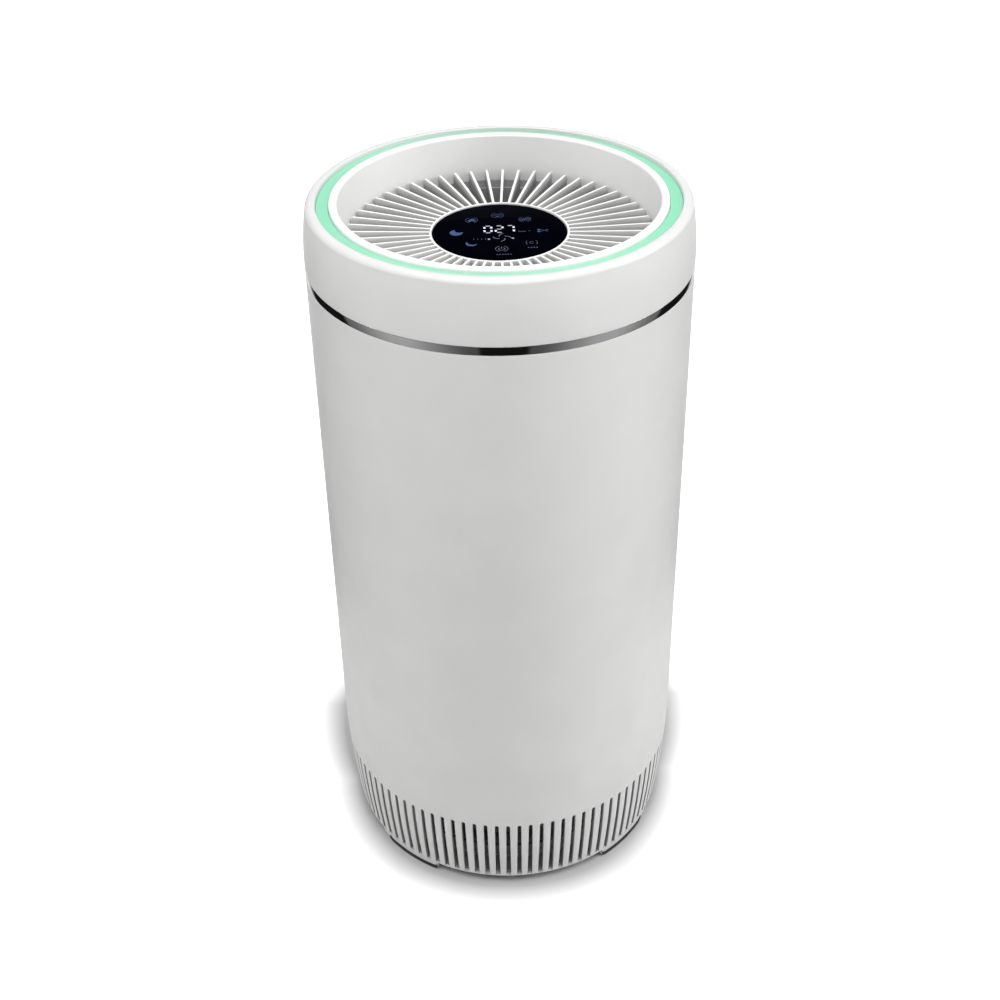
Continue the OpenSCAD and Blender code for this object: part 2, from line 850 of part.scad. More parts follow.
module foot_pads() {
    color("#141414")
        for (i = [0 : foot_count - 1])
            ring_piece(foot_r_out + 0.2, foot_r_in + 0.5, pad_t, foot_angle - 0.4,
                foot_first + 360 * i / foot_count);
}

module base_screws() {
    color(steel)
        around(foot_count, frame_hole_r, foot_first)
            translate([0, 0, base_screw_z]) mirror([0, 0, 1]) screw(frame_screw_r, 22, 3.9, 2.2);
}

// Safety switch over one of the cover's lugs, with a well for its plunger and spring
module switch_body() {
    well_y = 1.2;
    color("#1f1f22")
        at_azimuth(switch_azimuth, switch_r + well_y) difference() {
            slab(20, 8, 16, collar_top);
            translate([0, well_y, collar_top - 1]) cylinder(r = plunger_r + 0.1, h = 8, $fn = 32);
            translate([0, well_y, plunger_stop]) cylinder(r = 2.6, h = 10, $fn = 32);
        }
}

module switch_spring() {
    turns = 5;
    pitch = 1;
    coil_r = 1.7;
    wire_r = 0.3;
    spring_z = plunger_stop + 4.5;
    color(steel)
        at_azimuth(switch_azimuth, switch_r)
            for (i = [0 : turns - 1])
                translate([0, 0, spring_z + pitch * i])
                    rotate_extrude($fn = 24) translate([coil_r, 0]) circle(r = wire_r, $fn = 16);
}

// Rod with a flange that rests in the switch's well and a thin pin that guides the spring
module switch_plunger() {
    flange_z = plunger_stop + gap;
    flange_t = 1.6;
    pin_l = 2;
    color("#c8402c")
        at_azimuth(switch_azimuth, switch_r) {
            translate([0, 0, plunger_tip])
                cylinder(r = plunger_r, h = flange_z - plunger_tip + eps, $fn = 32);
            translate([0, 0, flange_z]) cylinder(r = 2.3, h = flange_t, $fn = 32);
            translate([0, 0, flange_z + flange_t - eps]) cylinder(r = 1, h = pin_l + eps, $fn = 32);
        }
}

// Twist-off cover: plate, rim with lugs, and a pocket with a bar to turn it by
module filter_cover() {
    wall_t = 2;
    bar_w = 16;
    rim_t = 2.4;
    rim_top = plunger_tip - gap;
    lug_rise = 0.5;
    rib_count = 12;
    rib_r0 = pocket_r + wall_t / 2;
    rib_r1 = cover_r - rim_t / 2;
    pocket_h = pocket_top - cover_z0;
    bar_z0 = cover_z0 + 0.5;
    rim_z0 = cover_z0 + 1;
    color(white) {
        difference() {
            union() {
                translate([0, 0, cover_z0]) cylinder(r = cover_r, h = cover_plate_t, $fn = 144);
                translate([0, 0, cover_z0]) cylinder(r = pocket_r + wall_t, h = pocket_h);
            }
            translate([0, 0, cover_z0 - 1]) cylinder(r = pocket_r, h = pocket_h - wall_t + 1);
        }
        slab(bar_w, 2 * pocket_r + wall_t, pocket_top - wall_t - bar_z0 + eps, bar_z0);
        ring(cover_r, cover_r - rim_t, rim_top - lug_rise - rim_z0, rim_z0, $fn = 144);
        for (i = [0 : lug_count - 1])
            ring_piece(collar_r - 0.4, rib_r1, lug_t, lug_angle, 360 * i / lug_count, rim_top - lug_t);
        around(rib_count, (rib_r0 + rib_r1) / 2, 180 / rib_count)
            slab(2, rib_r1 - rib_r0, 6, cover_z0 + cover_plate_t - eps);
    }
}

// ---- Filter ----

media_z0 = filter_z0 + cap_t;
media_h = filter_z1 - cap_t - media_z0;
core_r = 46;
cap_skirt_t = 1.5;

// Outline of a star with alternating radii
module star(r_tip, r_valley) {
    polygon([for (i = [0 : 2 * pleat_count - 1])
        let (a = 180 * i / pleat_count, r = i % 2 == 0 ? r_tip : r_valley) [r * cos(a), r * sin(a)]]);
}

module filter_media() {
    pleat_wall = 6.5;
    tip_r = filter_r - 3.2;
    valley_r = 62;
    color("#f2f2ee")
        translate([0, 0, media_z0])
            linear_extrude(height = media_h)
                difference() {
                    star(tip_r, valley_r);
                    star(tip_r - pleat_wall, valley_r - pleat_wall);
                }
}

module carbon_sleeve() {
    sleeve_r = 55;
    color("#26262a") ring(sleeve_r, core_r + 3, media_h, media_z0);
}

module prefilter_mesh() {
    mesh_r = filter_r - cap_skirt_t - 0.1;
    color("#3c3c40") ring(mesh_r, mesh_r - 1, media_h, media_z0, $fn = 144);
}

// Upper cap: a ring with a skirt that laps over the mesh
module filter_top_cap() {
    media_top = media_z0 + media_h;
    step = 3;
    color("#2a2a2e") {
        ring(filter_r, core_r, cap_t - step, media_top + step);
        ring(filter_r, filter_r - cap_skirt_t, 2 * step, media_top - step + eps);
        ring(filter_r - 2.6, core_r, step + eps, media_top);
    }
}

// Closed lower cap, with a shallow recess for the pull tab
module filter_bottom_cap() {
    recess_r = 40;
    recess_t = 3;
    skirt_h = 4;
    color("#2a2a2e")
        difference() {
            union() {
                translate([0, 0, filter_z0]) cylinder(r = filter_r, h = cap_t);
                ring(filter_r, filter_r - cap_skirt_t, skirt_h, media_z0 - eps);
            }
            translate([0, 0, filter_z0 - 1]) cylinder(r = recess_r, h = recess_t + 1);
        }
}

module filter_seal() {
    color("#4a4a4e") ring(filter_r - 6, core_r + 18, seal_t, filter_z1);
}

// Tape across the lower cap's recess, with a pad at each end that joins it to the cap
module pull_tab() {
    tab_w = 18;
    tab_l = 62;
    tab_t = 0.8;
    pad_l = 8;
    tab_z0 = filter_z0 + 1.4;
    color("#2d5f9e") {
        slab(tab_w, tab_l, tab_t, tab_z0);
        for (end = [-1, 1])
            translate([0, end * (tab_l - pad_l) / 2, 0])
                slab(tab_w, pad_l, tab_t + eps, tab_z0 + tab_t - eps);
    }
}

outer_casing();
chrome_band();
head_shell();
outlet_bowl();
light_ring();
light_ring_board();
head_screws();
outlet_grille();
display_glass();
display_board();
display_housing();
display_screws();
display_lead();
fan_duct();
guide_vanes();
duct_screws();
fan_deck();
deck_seal();
deck_screws();
motor_case();
motor_winding();
motor_plate();
motor_bushes();
motor_bearings();
motor_screws();
motor_lead();
control_board();
power_board();
power_inlet();
inlet_pins();
mains_lead();
dust_sensor();
chamber_frame();
base_ring();
foot_pads();
base_screws();
switch_body();
switch_spring();
switch_plunger();
impeller();
motor_shaft();
motor_rotor();
impeller_nut();
filter_media();
carbon_sleeve();
prefilter_mesh();
filter_top_cap();
filter_bottom_cap();
filter_seal();
pull_tab();
filter_cover();
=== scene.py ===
"""Round tower air purifier: finished shells, blades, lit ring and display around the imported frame."""

import json
import math

import bmesh
import bpy
from mathutils import Matrix, Vector


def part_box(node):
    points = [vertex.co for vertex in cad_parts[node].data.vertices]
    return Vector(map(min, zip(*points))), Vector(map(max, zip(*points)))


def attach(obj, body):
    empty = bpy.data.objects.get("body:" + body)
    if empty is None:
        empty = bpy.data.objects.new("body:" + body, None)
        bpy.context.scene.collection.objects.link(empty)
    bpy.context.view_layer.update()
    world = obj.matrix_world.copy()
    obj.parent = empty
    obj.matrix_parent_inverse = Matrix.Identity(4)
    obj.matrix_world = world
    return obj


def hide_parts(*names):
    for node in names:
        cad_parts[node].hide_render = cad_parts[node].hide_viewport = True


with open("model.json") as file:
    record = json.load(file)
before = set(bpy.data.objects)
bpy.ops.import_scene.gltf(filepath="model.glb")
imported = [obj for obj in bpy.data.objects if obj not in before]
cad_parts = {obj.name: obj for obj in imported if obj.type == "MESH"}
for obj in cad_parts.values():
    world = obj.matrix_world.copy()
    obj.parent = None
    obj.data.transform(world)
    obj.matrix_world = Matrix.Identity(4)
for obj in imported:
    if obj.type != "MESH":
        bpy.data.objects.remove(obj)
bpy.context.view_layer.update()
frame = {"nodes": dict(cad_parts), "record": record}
cad_nodes = frame["nodes"]
MM = 0.001

# ---------------------------------------------------------------- measures taken from the frame


def heights(node):
    """Lowest and highest z of a CAD node."""
    low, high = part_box(node)
    return low.z, high.z


def reach(node):
    """Smallest and largest distance of a CAD node's vertices from the tower's axis."""
    distances = [math.hypot(v.co.x, v.co.y) for v in cad_nodes[node].data.vertices]
    return min(distances), max(distances)


def outermost(node, z):
    """Largest distance from the axis among a CAD node's vertices at height z."""
    points = [v.co for v in cad_nodes[node].data.vertices]
    return max(math.hypot(p.x, p.y) for p in points if abs(p.z - z) < 0.01 * MM)


BAND_GAP = 0.2 * MM
CASING_WALL = 2.6 * MM
CASING_LOW, COLLAR_HIGH = heights("outer_casing")
WIDEST_R = reach("outer_casing")[1]
WIDEST_Z = 94 * MM
BOTTOM_R = outermost("outer_casing", CASING_LOW)
HEAD_LOW, RIM_TOP = heights("head_shell")
BAND_R = reach("head_shell")[1]
BAND_LOW = heights("chrome_band")[0] - BAND_GAP
LIGHT_IN, LIGHT_OUT = reach("light_ring")
LIGHT_LOW, LIGHT_TOP = heights("light_ring")
LEDGE_TOP = heights("light_ring_board")[0]
BOWL_LOW = heights("outlet_bowl")[0]
DUCT_R = BAND_R - 26.3 * MM
BLADE_LOW, BLADE_TOP = heights("outlet_grille")
GLASS_R = reach("display_glass")[1]
GLASS_LOW, GLASS_TOP = heights("display_glass")
PAD_TOP = heights("foot_pads")[1]

SLOT_COUNT = 96
SLOT_LOW = CASING_LOW + 1.2 * MM
SLOT_TOP = 70.6 * MM
SLOT_W_TOP = 2.8 * MM
SLOT_W_LOW = 3.6 * MM
BLADE_COUNT = 55
BLADE_T = 1.6 * MM
ROUND_SEGMENTS = 288
LAMP_COUNT = 36
SHARP_ANGLE = math.radians(35)

# ---------------------------------------------------------------- mesh helpers


def polar(radius, azimuth, z):
    """Point at a distance from the axis and an azimuth counted from the front (-Y) towards +X."""
    return Vector((radius * math.sin(azimuth), -radius * math.cos(azimuth), z))


def rounded(corners, steps=4):
    """Closed outline through (radius, height, fillet) corners, with each fillet drawn as an arc."""
    outline = []
    count = len(corners)
    for i, (x, y, fillet) in enumerate(corners):
        here = Vector((x, y))
        before = Vector(corners[i - 1][:2]) - here
        after = Vector(corners[(i + 1) % count][:2]) - here
        opening = before.angle(after)
        if fillet <= 0 or opening > math.radians(176):
            outline.append((x, y))
            continue
        tangent = fillet / math.tan(opening / 2)
        tangent = min(tangent, 0.48 * before.length, 0.48 * after.length)
        size = tangent * math.tan(opening / 2)
        middle = (before.normalized() + after.normalized()).normalized()
        centre = here + middle * (size / math.sin(opening / 2))
        start = here + before.normalized() * tangent - centre
        sweep = math.pi - opening
        sign = 1 if before.cross(after) < 0 else -1
        for k in range(steps + 1):
            turned = Matrix.Rotation(sign * sweep * k / steps, 2) @ start
            outline.append(tuple(centre + turned))
    return outline


def lathe(bm, outline, segments=ROUND_SEGMENTS, start=0.0, sweep=2 * math.pi, lift=None):
    """Adds a closed outline of (radius, height) points, turned round the axis, to a bmesh.

    lift gives the height by which the outline rises at a share of the sweep.
    """
    whole = abs(sweep - 2 * math.pi) < 1e-9
    ring_count = segments if whole else segments + 1
    rings = []
    for i in range(ring_count):
        azimuth = start + sweep * i / segments
        rise = lift(i / segments) if lift else 0.0
        rings.append([bm.verts.new(polar(r, azimuth, z + rise)) for r, z in outline])
    count = len(outline)
    for i in range(segments):
        a, b = rings[i], rings[(i + 1) % ring_count]
        for k in range(count):
            m = (k + 1) % count
            bm.faces.new((a[k], b[k], b[m], a[m]))
    if not whole:
        bm.faces.new(rings[0])
        bm.faces.new(list(reversed(rings[-1])))


def prism(bm, points, low, high):
    """Adds a flat outline of (x, y) points, extruded from low to high, to a bmesh."""
    bottom = [bm.verts.new((x, y, low)) for x, y in points]
    top = [bm.verts.new((x, y, high)) for x, y in points]
    bm.faces.new(bottom[::-1])
    bm.faces.new(top)
    for i in range(len(points)):
        m = (i + 1) % len(points)
        bm.faces.new((bottom[i], bottom[m], top[m], top[i]))


def finish_piece(name, bm, material, body, replaces=(), merge=1e-6):
    """Turns a bmesh into a smooth-shaded piece that rides on a body and stands for CAD nodes."""
    bmesh.ops.remove_doubles(bm, verts=bm.verts, dist=merge)
    bmesh.ops.recalc_face_normals(bm, faces=bm.faces)
    mesh = bpy.data.meshes.new(name)
    bm.to_mesh(mesh)
    bm.free()
    mesh.shade_smooth()
    mesh.set_sharp_from_angle(angle=SHARP_ANGLE)
    mesh.materials.append(material)
    piece = bpy.data.objects.new(name, mesh)
    bpy.context.scene.collection.objects.link(piece)
    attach(piece, body)
    if replaces:
        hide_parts(*replaces)
    return piece


def bevel_edges(bm, width, segments=2, angle_deg=40):
    """Rounds every edge of a bmesh that is sharper than an angle."""
    limit = math.radians(angle_deg)
    edges = [e for e in bm.edges if len(e.link_faces) == 2 and e.calc_face_angle() > limit]
    bmesh.ops.bevel(bm, geom=edges, offset=width, segments=segments, affect="EDGES", profile=0.5,
                    clamp_overlap=True)


# ---------------------------------------------------------------- materials


class Look:
    """A Principled material with short calls for the nodes that it needs."""

    def __init__(self, name, color, roughness, **sockets):
        self.material = bpy.data.materials.new(name)
        self.material.use_nodes = True
        self.tree = self.material.node_tree
        self.shader = self.tree.nodes["Principled BSDF"]
        self.set("Base Color", (*color, 1.0))
        self.set("Roughness", roughness)
        for socket, value in sockets.items():
            self.set(socket.replace("_", " "), value)
        self.color = color
        self.roughness = roughness
        self.place = self.add("ShaderNodeTexCoord").outputs["Object"]

    def set(self, socket, value):
        """Sets one of the shader's own sockets."""
        self.shader.inputs[socket].default_value = value

    def add(self, kind, inputs=None, **settings):
        """Adds a node. Inputs are values or the outputs of other nodes."""
        node = self.tree.nodes.new(kind)
        for key, value in settings.items():
            setattr(node, key, value)
        for key, value in (inputs or {}).items():
            if isinstance(value, bpy.types.NodeSocket):
                self.tree.links.new(value, node.inputs[key])
            else:
                node.inputs[key].default_value = value
        return node

    def math(self, operation, a, b=0.0):
        """Output of a Math node."""
        return self.add("ShaderNodeMath", {0: a, 1: b}, operation=operation).outputs[0]

    def noise(self, size, detail=3.0, place=None):
        """Noise whose features are about size metres across."""
        inputs = {"Vector": place or self.place, "Scale": 1.0 / size, "Detail": detail}
        return self.add("ShaderNodeTexNoise", inputs).outputs["Fac"]

    def cells(self, size):
        """Distance field of cells about size metres across."""
        inputs = {"Vector": self.place, "Scale": 1.0 / size}
        return self.add("ShaderNodeTexVoronoi", inputs).outputs["Distance"]

    def spread(self, value, low, high, from_low=0.3, from_high=0.7):
        """A value's range mapped on to another range."""
        inputs = {"Value": value, "From Min": from_low, "From Max": from_high, "To Min": low, "To Max": high}
        return self.add("ShaderNodeMapRange", inputs).outputs["Result"]

    def mix(self, share, first, second):
        """Colour between two colours."""
        node = self.add("ShaderNodeMix", data_type="RGBA")
        for key, value in ((0, share), (6, first), (7, second)):
            if isinstance(value, bpy.types.NodeSocket):
                self.tree.links.new(value, node.inputs[key])
            else:
                node.inputs[key].default_value = value if key == 0 else (*value, 1.0)
        return node.outputs[2]

    def link(self, output, socket):
        """Feeds one of the shader's own sockets."""
        self.tree.links.new(output, self.shader.inputs[socket])

    def wrapped(self, radius):
        """Coordinates that run round the axis and up, in metres, on a surface near a radius."""
        parts = self.add("ShaderNodeSeparateXYZ", {0: self.place})
        angle = self.math("ARCTAN2", parts.outputs["Y"], parts.outputs["X"])
        along = self.math("MULTIPLY", angle, radius)
        return self.add("ShaderNodeCombineXYZ", {"X": along, "Y": parts.outputs["Z"]}).outputs[0]

    def tint(self, size, amount, darker=0.85):
        """Slight patches of a darker shade."""
        shade = tuple(c * darker for c in self.color)
        patches = self.spread(self.noise(size, 4.0), 0.0, amount)
        self.link(self.mix(patches, self.color, shade), "Base Color")

    def polish(self, size, amount):
        """Roughness that varies round its own value."""
        value = self.spread(self.noise(size, 5.0), self.roughness - amount, self.roughness + amount)
        self.link(value, "Roughness")

    def bump(self, height, depth):
        """Relief from a height between 0 and 1, depth metres deep."""
        inputs = {"Height": height, "Strength": 1.0, "Distance": depth}
        self.link(self.add("ShaderNodeBump", inputs).outputs["Normal"], "Normal")


def moulded(name, color, roughness, amount=0.25):
    """Moulded plastic: spark-eroded grain, cloudy gloss and faint shade changes."""
    look = Look(name, color, roughness)
    look.tint(35 * MM, amount)
    look.polish(18 * MM, 0.05)
    look.bump(look.noise(0.45 * MM, 2.0), 0.012 * MM)
    return look


def brushed(name, color, roughness, radius):
    """Metal with fine marks that run round the axis."""
    look = Look(name, color, roughness, Metallic=1.0)
    lines = look.add("ShaderNodeMapping", {"Vector": look.wrapped(radius), "Scale": (0.02, 1.0, 1.0)})
    marks = look.noise(0.35 * MM, 3.0, lines.outputs[0])
    look.link(look.spread(marks, 0.7 * roughness, 1.3 * roughness), "Roughness")
    look.tint(12 * MM, 0.4, 0.8)
    look.bump(marks, 0.004 * MM)
    return look


def plated_metal():
    """Zinc plated steel of screws, shaft and springs."""
    look = Look("zinc_plated_steel", (0.56, 0.57, 0.58), 0.3, Metallic=1.0)
    look.tint(2.5 * MM, 0.6, 0.7)
    look.polish(1.2 * MM, 0.1)
    look.bump(look.noise(0.2 * MM), 0.006 * MM)
    return look


def lit_guide():
    """Frosted light guide of the rim, lit from below by its row of lamps."""
    look = Look("lit_light_guide", (0.10, 0.34, 0.22), 0.42)
    parts = look.add("ShaderNodeSeparateXYZ", {0: look.place})
    angle = look.math("ARCTAN2", parts.outputs["Y"], parts.outputs["X"])
    lamps = look.math("COSINE", look.math("MULTIPLY", angle, LAMP_COUNT))
    glow = look.spread(lamps, 0.97, 1.0, -1.0, 1.0)
    frost = look.spread(look.noise(0.8 * MM), 0.95, 1.03)
    look.link(look.math("MULTIPLY", glow, frost), "Emission Strength")
    look.set("Emission Color", (0.18, 0.32, 0.235, 1.0))
    look.bump(look.noise(0.3 * MM), 0.01 * MM)
    return look


def board_lacquer():
    """Circuit board: green lacquer over copper tracks."""
    look = Look("board_lacquer", (0.02, 0.16, 0.06), 0.35, Coat_Weight=0.4)
    tracks = look.add("ShaderNodeTexBrick", {"Vector": look.place, "Scale": 260.0, "Mortar Size": 0.035,
                                             "Color1": (0.02, 0.15, 0.06, 1),
                                             "Color2": (0.025, 0.19, 0.075, 1),
                                             "Mortar": (0.05, 0.30, 0.12, 1)})
    pads = look.spread(look.cells(3.2 * MM), 1.0, 0.0, 0.16, 0.2)
    look.link(look.mix(pads, tracks.outputs["Color"], (0.62, 0.55, 0.38)), "Base Color")
    look.bump(tracks.outputs["Fac"], 0.03 * MM)
    return look


def display_glass_look():
    """Black display glass with faint finger marks in its gloss."""
    look = Look("display_black_glass", (0.0006, 0.0007, 0.0025), 0.09, Specular_IOR_Level=0.001)
    marks = look.noise(9 * MM, 6.0)
    look.link(look.spread(marks, 0.06, 0.16, 0.45, 0.7), "Roughness")
    look.tint(20 * MM, 0.8, 0.4)
    look.bump(look.noise(14 * MM, 1.0), 0.01 * MM)
    return look


def open_foam():
    """Open cell sealing foam."""
    look = Look("open_cell_foam", (0.035, 0.035, 0.037), 0.95)
    cells = look.cells(0.7 * MM)
    look.link(look.mix(look.spread(cells, 0.0, 1.0, 0.1, 0.6), look.color, (0.09, 0.09, 0.095)), "Base Color")
    look.bump(cells, 0.3 * MM)
    return look


def copper_wire():
    """Enamelled copper wire in tight layers."""
    look = Look("enamelled_copper", (0.52, 0.2, 0.07), 0.3, Metallic=0.85, Coat_Weight=0.5)
    bands = look.add("ShaderNodeTexWave", {"Vector": look.place, "Scale": 320.0, "Distortion": 0.6},
                     bands_direction="Z")
    look.link(look.mix(bands.outputs["Fac"], (0.22, 0.07, 0.02), look.color), "Base Color")
    look.bump(bands.outputs["Fac"], 0.25 * MM)
    return look


def matte_rubber(name, color, roughness):
    """Rubber with a finely pitted, dusted skin."""
    look = Look(name, color, roughness)
    look.tint(6 * MM, 0.6, 1.9)
    look.polish(3 * MM, 0.06)
    look.bump(look.noise(0.25 * MM, 4.0), 0.03 * MM)
    return look


def pleated_paper():
    """Glass fibre paper: soft fibres over an off-white sheet."""
    look = Look("filter_paper", (0.74, 0.735, 0.70), 0.9)
    stretched = look.add("ShaderNodeMapping", {"Vector": look.place, "Scale": (1.0, 1.0, 0.15)}).outputs[0]
    fibres = look.noise(0.5 * MM, 6.0, stretched)
    look.link(look.mix(look.spread(fibres, 0.0, 1.0), (0.60, 0.59, 0.55), look.color), "Base Color")
    look.bump(fibres, 0.08 * MM)
    return look


def carbon_granules():
    """Activated carbon granules."""
    look = Look("carbon_granules", (0.018, 0.018, 0.02), 0.7)
    grains = look.cells(1.8 * MM)
    look.link(look.mix(look.spread(grains, 1.0, 0.0, 0.2, 0.6), (0.006, 0.006, 0.007), (0.045, 0.045, 0.05)),
              "Base Color")
    look.bump(look.math("SUBTRACT", 1.0, grains), 0.8 * MM)
    return look


def woven(name, thread, gap_color, pitch, place_radius=None):
    """Cloth or net woven over and under, pitch metres from thread to thread."""
    look = Look(name, thread, 0.7)
    place = look.wrapped(place_radius) if place_radius else look.place
    parts = look.add("ShaderNodeSeparateXYZ", {0: place})
    turn = 2 * math.pi / pitch
    weft = look.math("SINE", look.math("MULTIPLY", parts.outputs["X"], turn))
    warp = look.math("SINE", look.math("MULTIPLY", parts.outputs["Y"], turn))
    height = look.math("MAXIMUM", look.math("ABSOLUTE", weft), look.math("ABSOLUTE", warp))
    share = look.spread(height, 0.0, 1.0, 0.55, 0.9)
    look.link(look.mix(share, gap_color, thread), "Base Color")
    look.bump(height, 0.25 * pitch)
    return look


def lit_symbol(name, color, strength):
    """Display symbol that shines through the glass, a little uneven."""
    look = Look(name, tuple(0.04 * c for c in color), 0.5)
    uneven = look.spread(look.noise(1.1 * MM), 0.75 * strength, 1.1 * strength)
    look.link(uneven, "Emission Strength")
    look.set("Emission Color", (*color, 1.0))
    return look


def painted_shade_by_height(name, color, roughness, painted_shade_color, levels, shares):
    """Moulded plastic with painted shade: it turns grey between two heights, from one share to the other."""
    look = moulded(name, color, roughness)
    level = look.add("ShaderNodeSeparateXYZ", {0: look.place}).outputs["Z"]
    shade_share = look.spread(level, *shares, *levels)
    base = look.shader.inputs["Base Color"].links[0].from_socket
    look.link(look.mix(shade_share, base, painted_shade_color), "Base Color")
    return look


WHITE = (0.56, 0.558, 0.554)
# The bowl's white is a lighter copy of the body's white: painted light inside the bowl
BOWL_PAINTED_LIGHT_WHITE = (0.73, 0.728, 0.722)
PAINTED_SHADE_GREY = (0.22, 0.22, 0.218)
# Painted shade: its colour, the two heights and its share at each of them
# The grille's blades are lightest at their tops and turn grey down between them: painted shade
GRILLE_PAINTED_SHADE = PAINTED_SHADE_GREY, (BLADE_TOP - 6 * MM, BLADE_TOP - 0.5 * MM), (0.85, 0.0)
# The base ring is white below the casing's bottom edge and grey above it, inside the casing: painted shade
BASE_PAINTED_SHADE = (0.22, 0.22, 0.22), (CASING_LOW - 0.6 * MM, CASING_LOW + 0.6 * MM), (0.0, 0.9)
LOOKS = {
    "white_plastic": moulded("white_satin_plastic", WHITE, 0.42),
    "grille_plastic": painted_shade_by_height("grille_white_plastic", (0.74, 0.74, 0.735), 0.38, *GRILLE_PAINTED_SHADE),
    "frame_plastic": moulded("frame_grey_white_plastic", (0.60, 0.60, 0.59), 0.5),
    "chrome": brushed("dark_chrome", (0.62, 0.625, 0.63), 0.055, BAND_R),
    "light_guide": lit_guide(),
    "circuit_board": board_lacquer(),
    "steel": plated_metal(),
    "display_black": display_glass_look(),
    "black_plastic": moulded("black_plastic", (0.022, 0.022, 0.024), 0.45),
    "dark_plastic": moulded("duct_grey_plastic", (0.36, 0.36, 0.362), 0.5),
    "foam": open_foam(),
    "motor_metal": brushed("motor_aluminium", (0.55, 0.56, 0.57), 0.35, 33 * MM),
    "winding": copper_wire(),
    "rubber": matte_rubber("black_rubber", (0.012, 0.012, 0.012), 0.75),
    "cable": matte_rubber("cable_jacket", (0.03, 0.03, 0.032), 0.5),
    "red_plastic": moulded("red_plastic", (0.45, 0.05, 0.03), 0.4),
    "impeller_plastic": moulded("impeller_plastic", (0.42, 0.43, 0.44), 0.42),
    "filter_paper": pleated_paper(),
    "carbon": carbon_granules(),
    "filter_mesh": woven("prefilter_net", (0.035, 0.035, 0.038), (0.006, 0.006, 0.007), 1.6 * MM, 95 * MM),
    "cap_plastic": moulded("cap_plastic", (0.11, 0.11, 0.114), 0.5),
    "tab_fabric": woven("woven_tape", (0.05, 0.16, 0.42), (0.015, 0.05, 0.16), 1.4 * MM),
}
for look in LOOKS.values():
    look.material.diffuse_color = (*look.color, 1.0)
MATERIALS = {slot: look.material for slot, look in LOOKS.items()}
BOWL_MATERIAL = moulded("bowl_painted_light_white_plastic", BOWL_PAINTED_LIGHT_WHITE, 0.42).material
# Slot walls and the inside of the wall round the slots are dark grey: painted shade
SLOT_MATERIAL = moulded("painted_shade_slot_plastic", PAINTED_SHADE_GREY, 0.6, amount=0.6).material
NODE_MATERIALS = {"base_ring": painted_shade_by_height("base_white_plastic", WHITE, 0.42, *BASE_PAINTED_SHADE).material}
NODE_SLOT = {s["node"]: s["material_slot"] for s in frame["record"]["subparts"]}
for node_name, node in cad_nodes.items():
    for material_slot in node.material_slots:
        material_slot.material = NODE_MATERIALS.get(node_name, MATERIALS[NODE_SLOT[node_name]])

# ---------------------------------------------------------------- casing with its inlet slots

ARC_DROP = WIDEST_R - BOTTOM_R
ARC_H = WIDEST_Z - CASING_LOW
ARC_R = (ARC_H**2 + ARC_DROP**2) / (2 * ARC_DROP)


def casing_radius(z):
    """Outside radius of the casing at a height: a straight flare over a long arc that draws in."""
    if z >= WIDEST_Z:
        return WIDEST_R - (WIDEST_R - BAND_R) * (z - WIDEST_Z) / (BAND_LOW - WIDEST_Z)
    return WIDEST_R - ARC_R + math.sqrt(ARC_R**2 - (WIDEST_Z - z) ** 2)


SLOT_ARC_Z = SLOT_TOP - SLOT_W_TOP / 2
SLOT_ROWS = 11
ARC_STEPS = 8
CELL_HALF = math.pi / SLOT_COUNT
COLLAR_R = BAND_R - 3.1 * MM
COLLAR_IN = BAND_R - 5.4 * MM
COLLAR_SEAT_R = 119 * MM


def slot_outline(offset):
    """Outline of a slot, widened by an offset: up its left side, over its round top and down again."""
    low = SLOT_LOW - offset
    left = []
    for k in range(SLOT_ROWS + 1):
        z = low + (SLOT_ARC_Z - low) * k / SLOT_ROWS
        share = (z - SLOT_LOW) / (SLOT_ARC_Z - SLOT_LOW)
        half = (SLOT_W_LOW + (SLOT_W_TOP - SLOT_W_LOW) * max(share, 0.0)) / 2 + offset
        left.append((-half, z))
    top_r = SLOT_W_TOP / 2 + offset
    turns = [math.pi * (1 - k / ARC_STEPS) for k in range(1, ARC_STEPS)]
    top = [(top_r * math.cos(a), SLOT_ARC_Z + top_r * math.sin(a)) for a in turns]
    return left + top + [(-x, z) for x, z in reversed(left)]


def cell_outline(offset):
    """Edge of the panel that surrounds a slot, point for point with slot_outline."""
    inner = slot_outline(offset)
    width = CELL_HALF * casing_radius(SLOT_ARC_Z)
    outline = []
    for i, (x, z) in enumerate(inner):
        step = i - SLOT_ROWS
        if step <= 0 or step >= ARC_STEPS:
            outline.append((math.copysign(CELL_HALF * casing_radius(z), x), z))
            continue
        turn = math.pi * (1 - step / ARC_STEPS)
        scale = max(abs(math.cos(turn)), abs(math.sin(turn)))
        across = math.cos(turn) / scale
        z = SLOT_ARC_Z + width * math.sin(turn) / scale
        outline.append((across * CELL_HALF * casing_radius(z), z))
    return outline


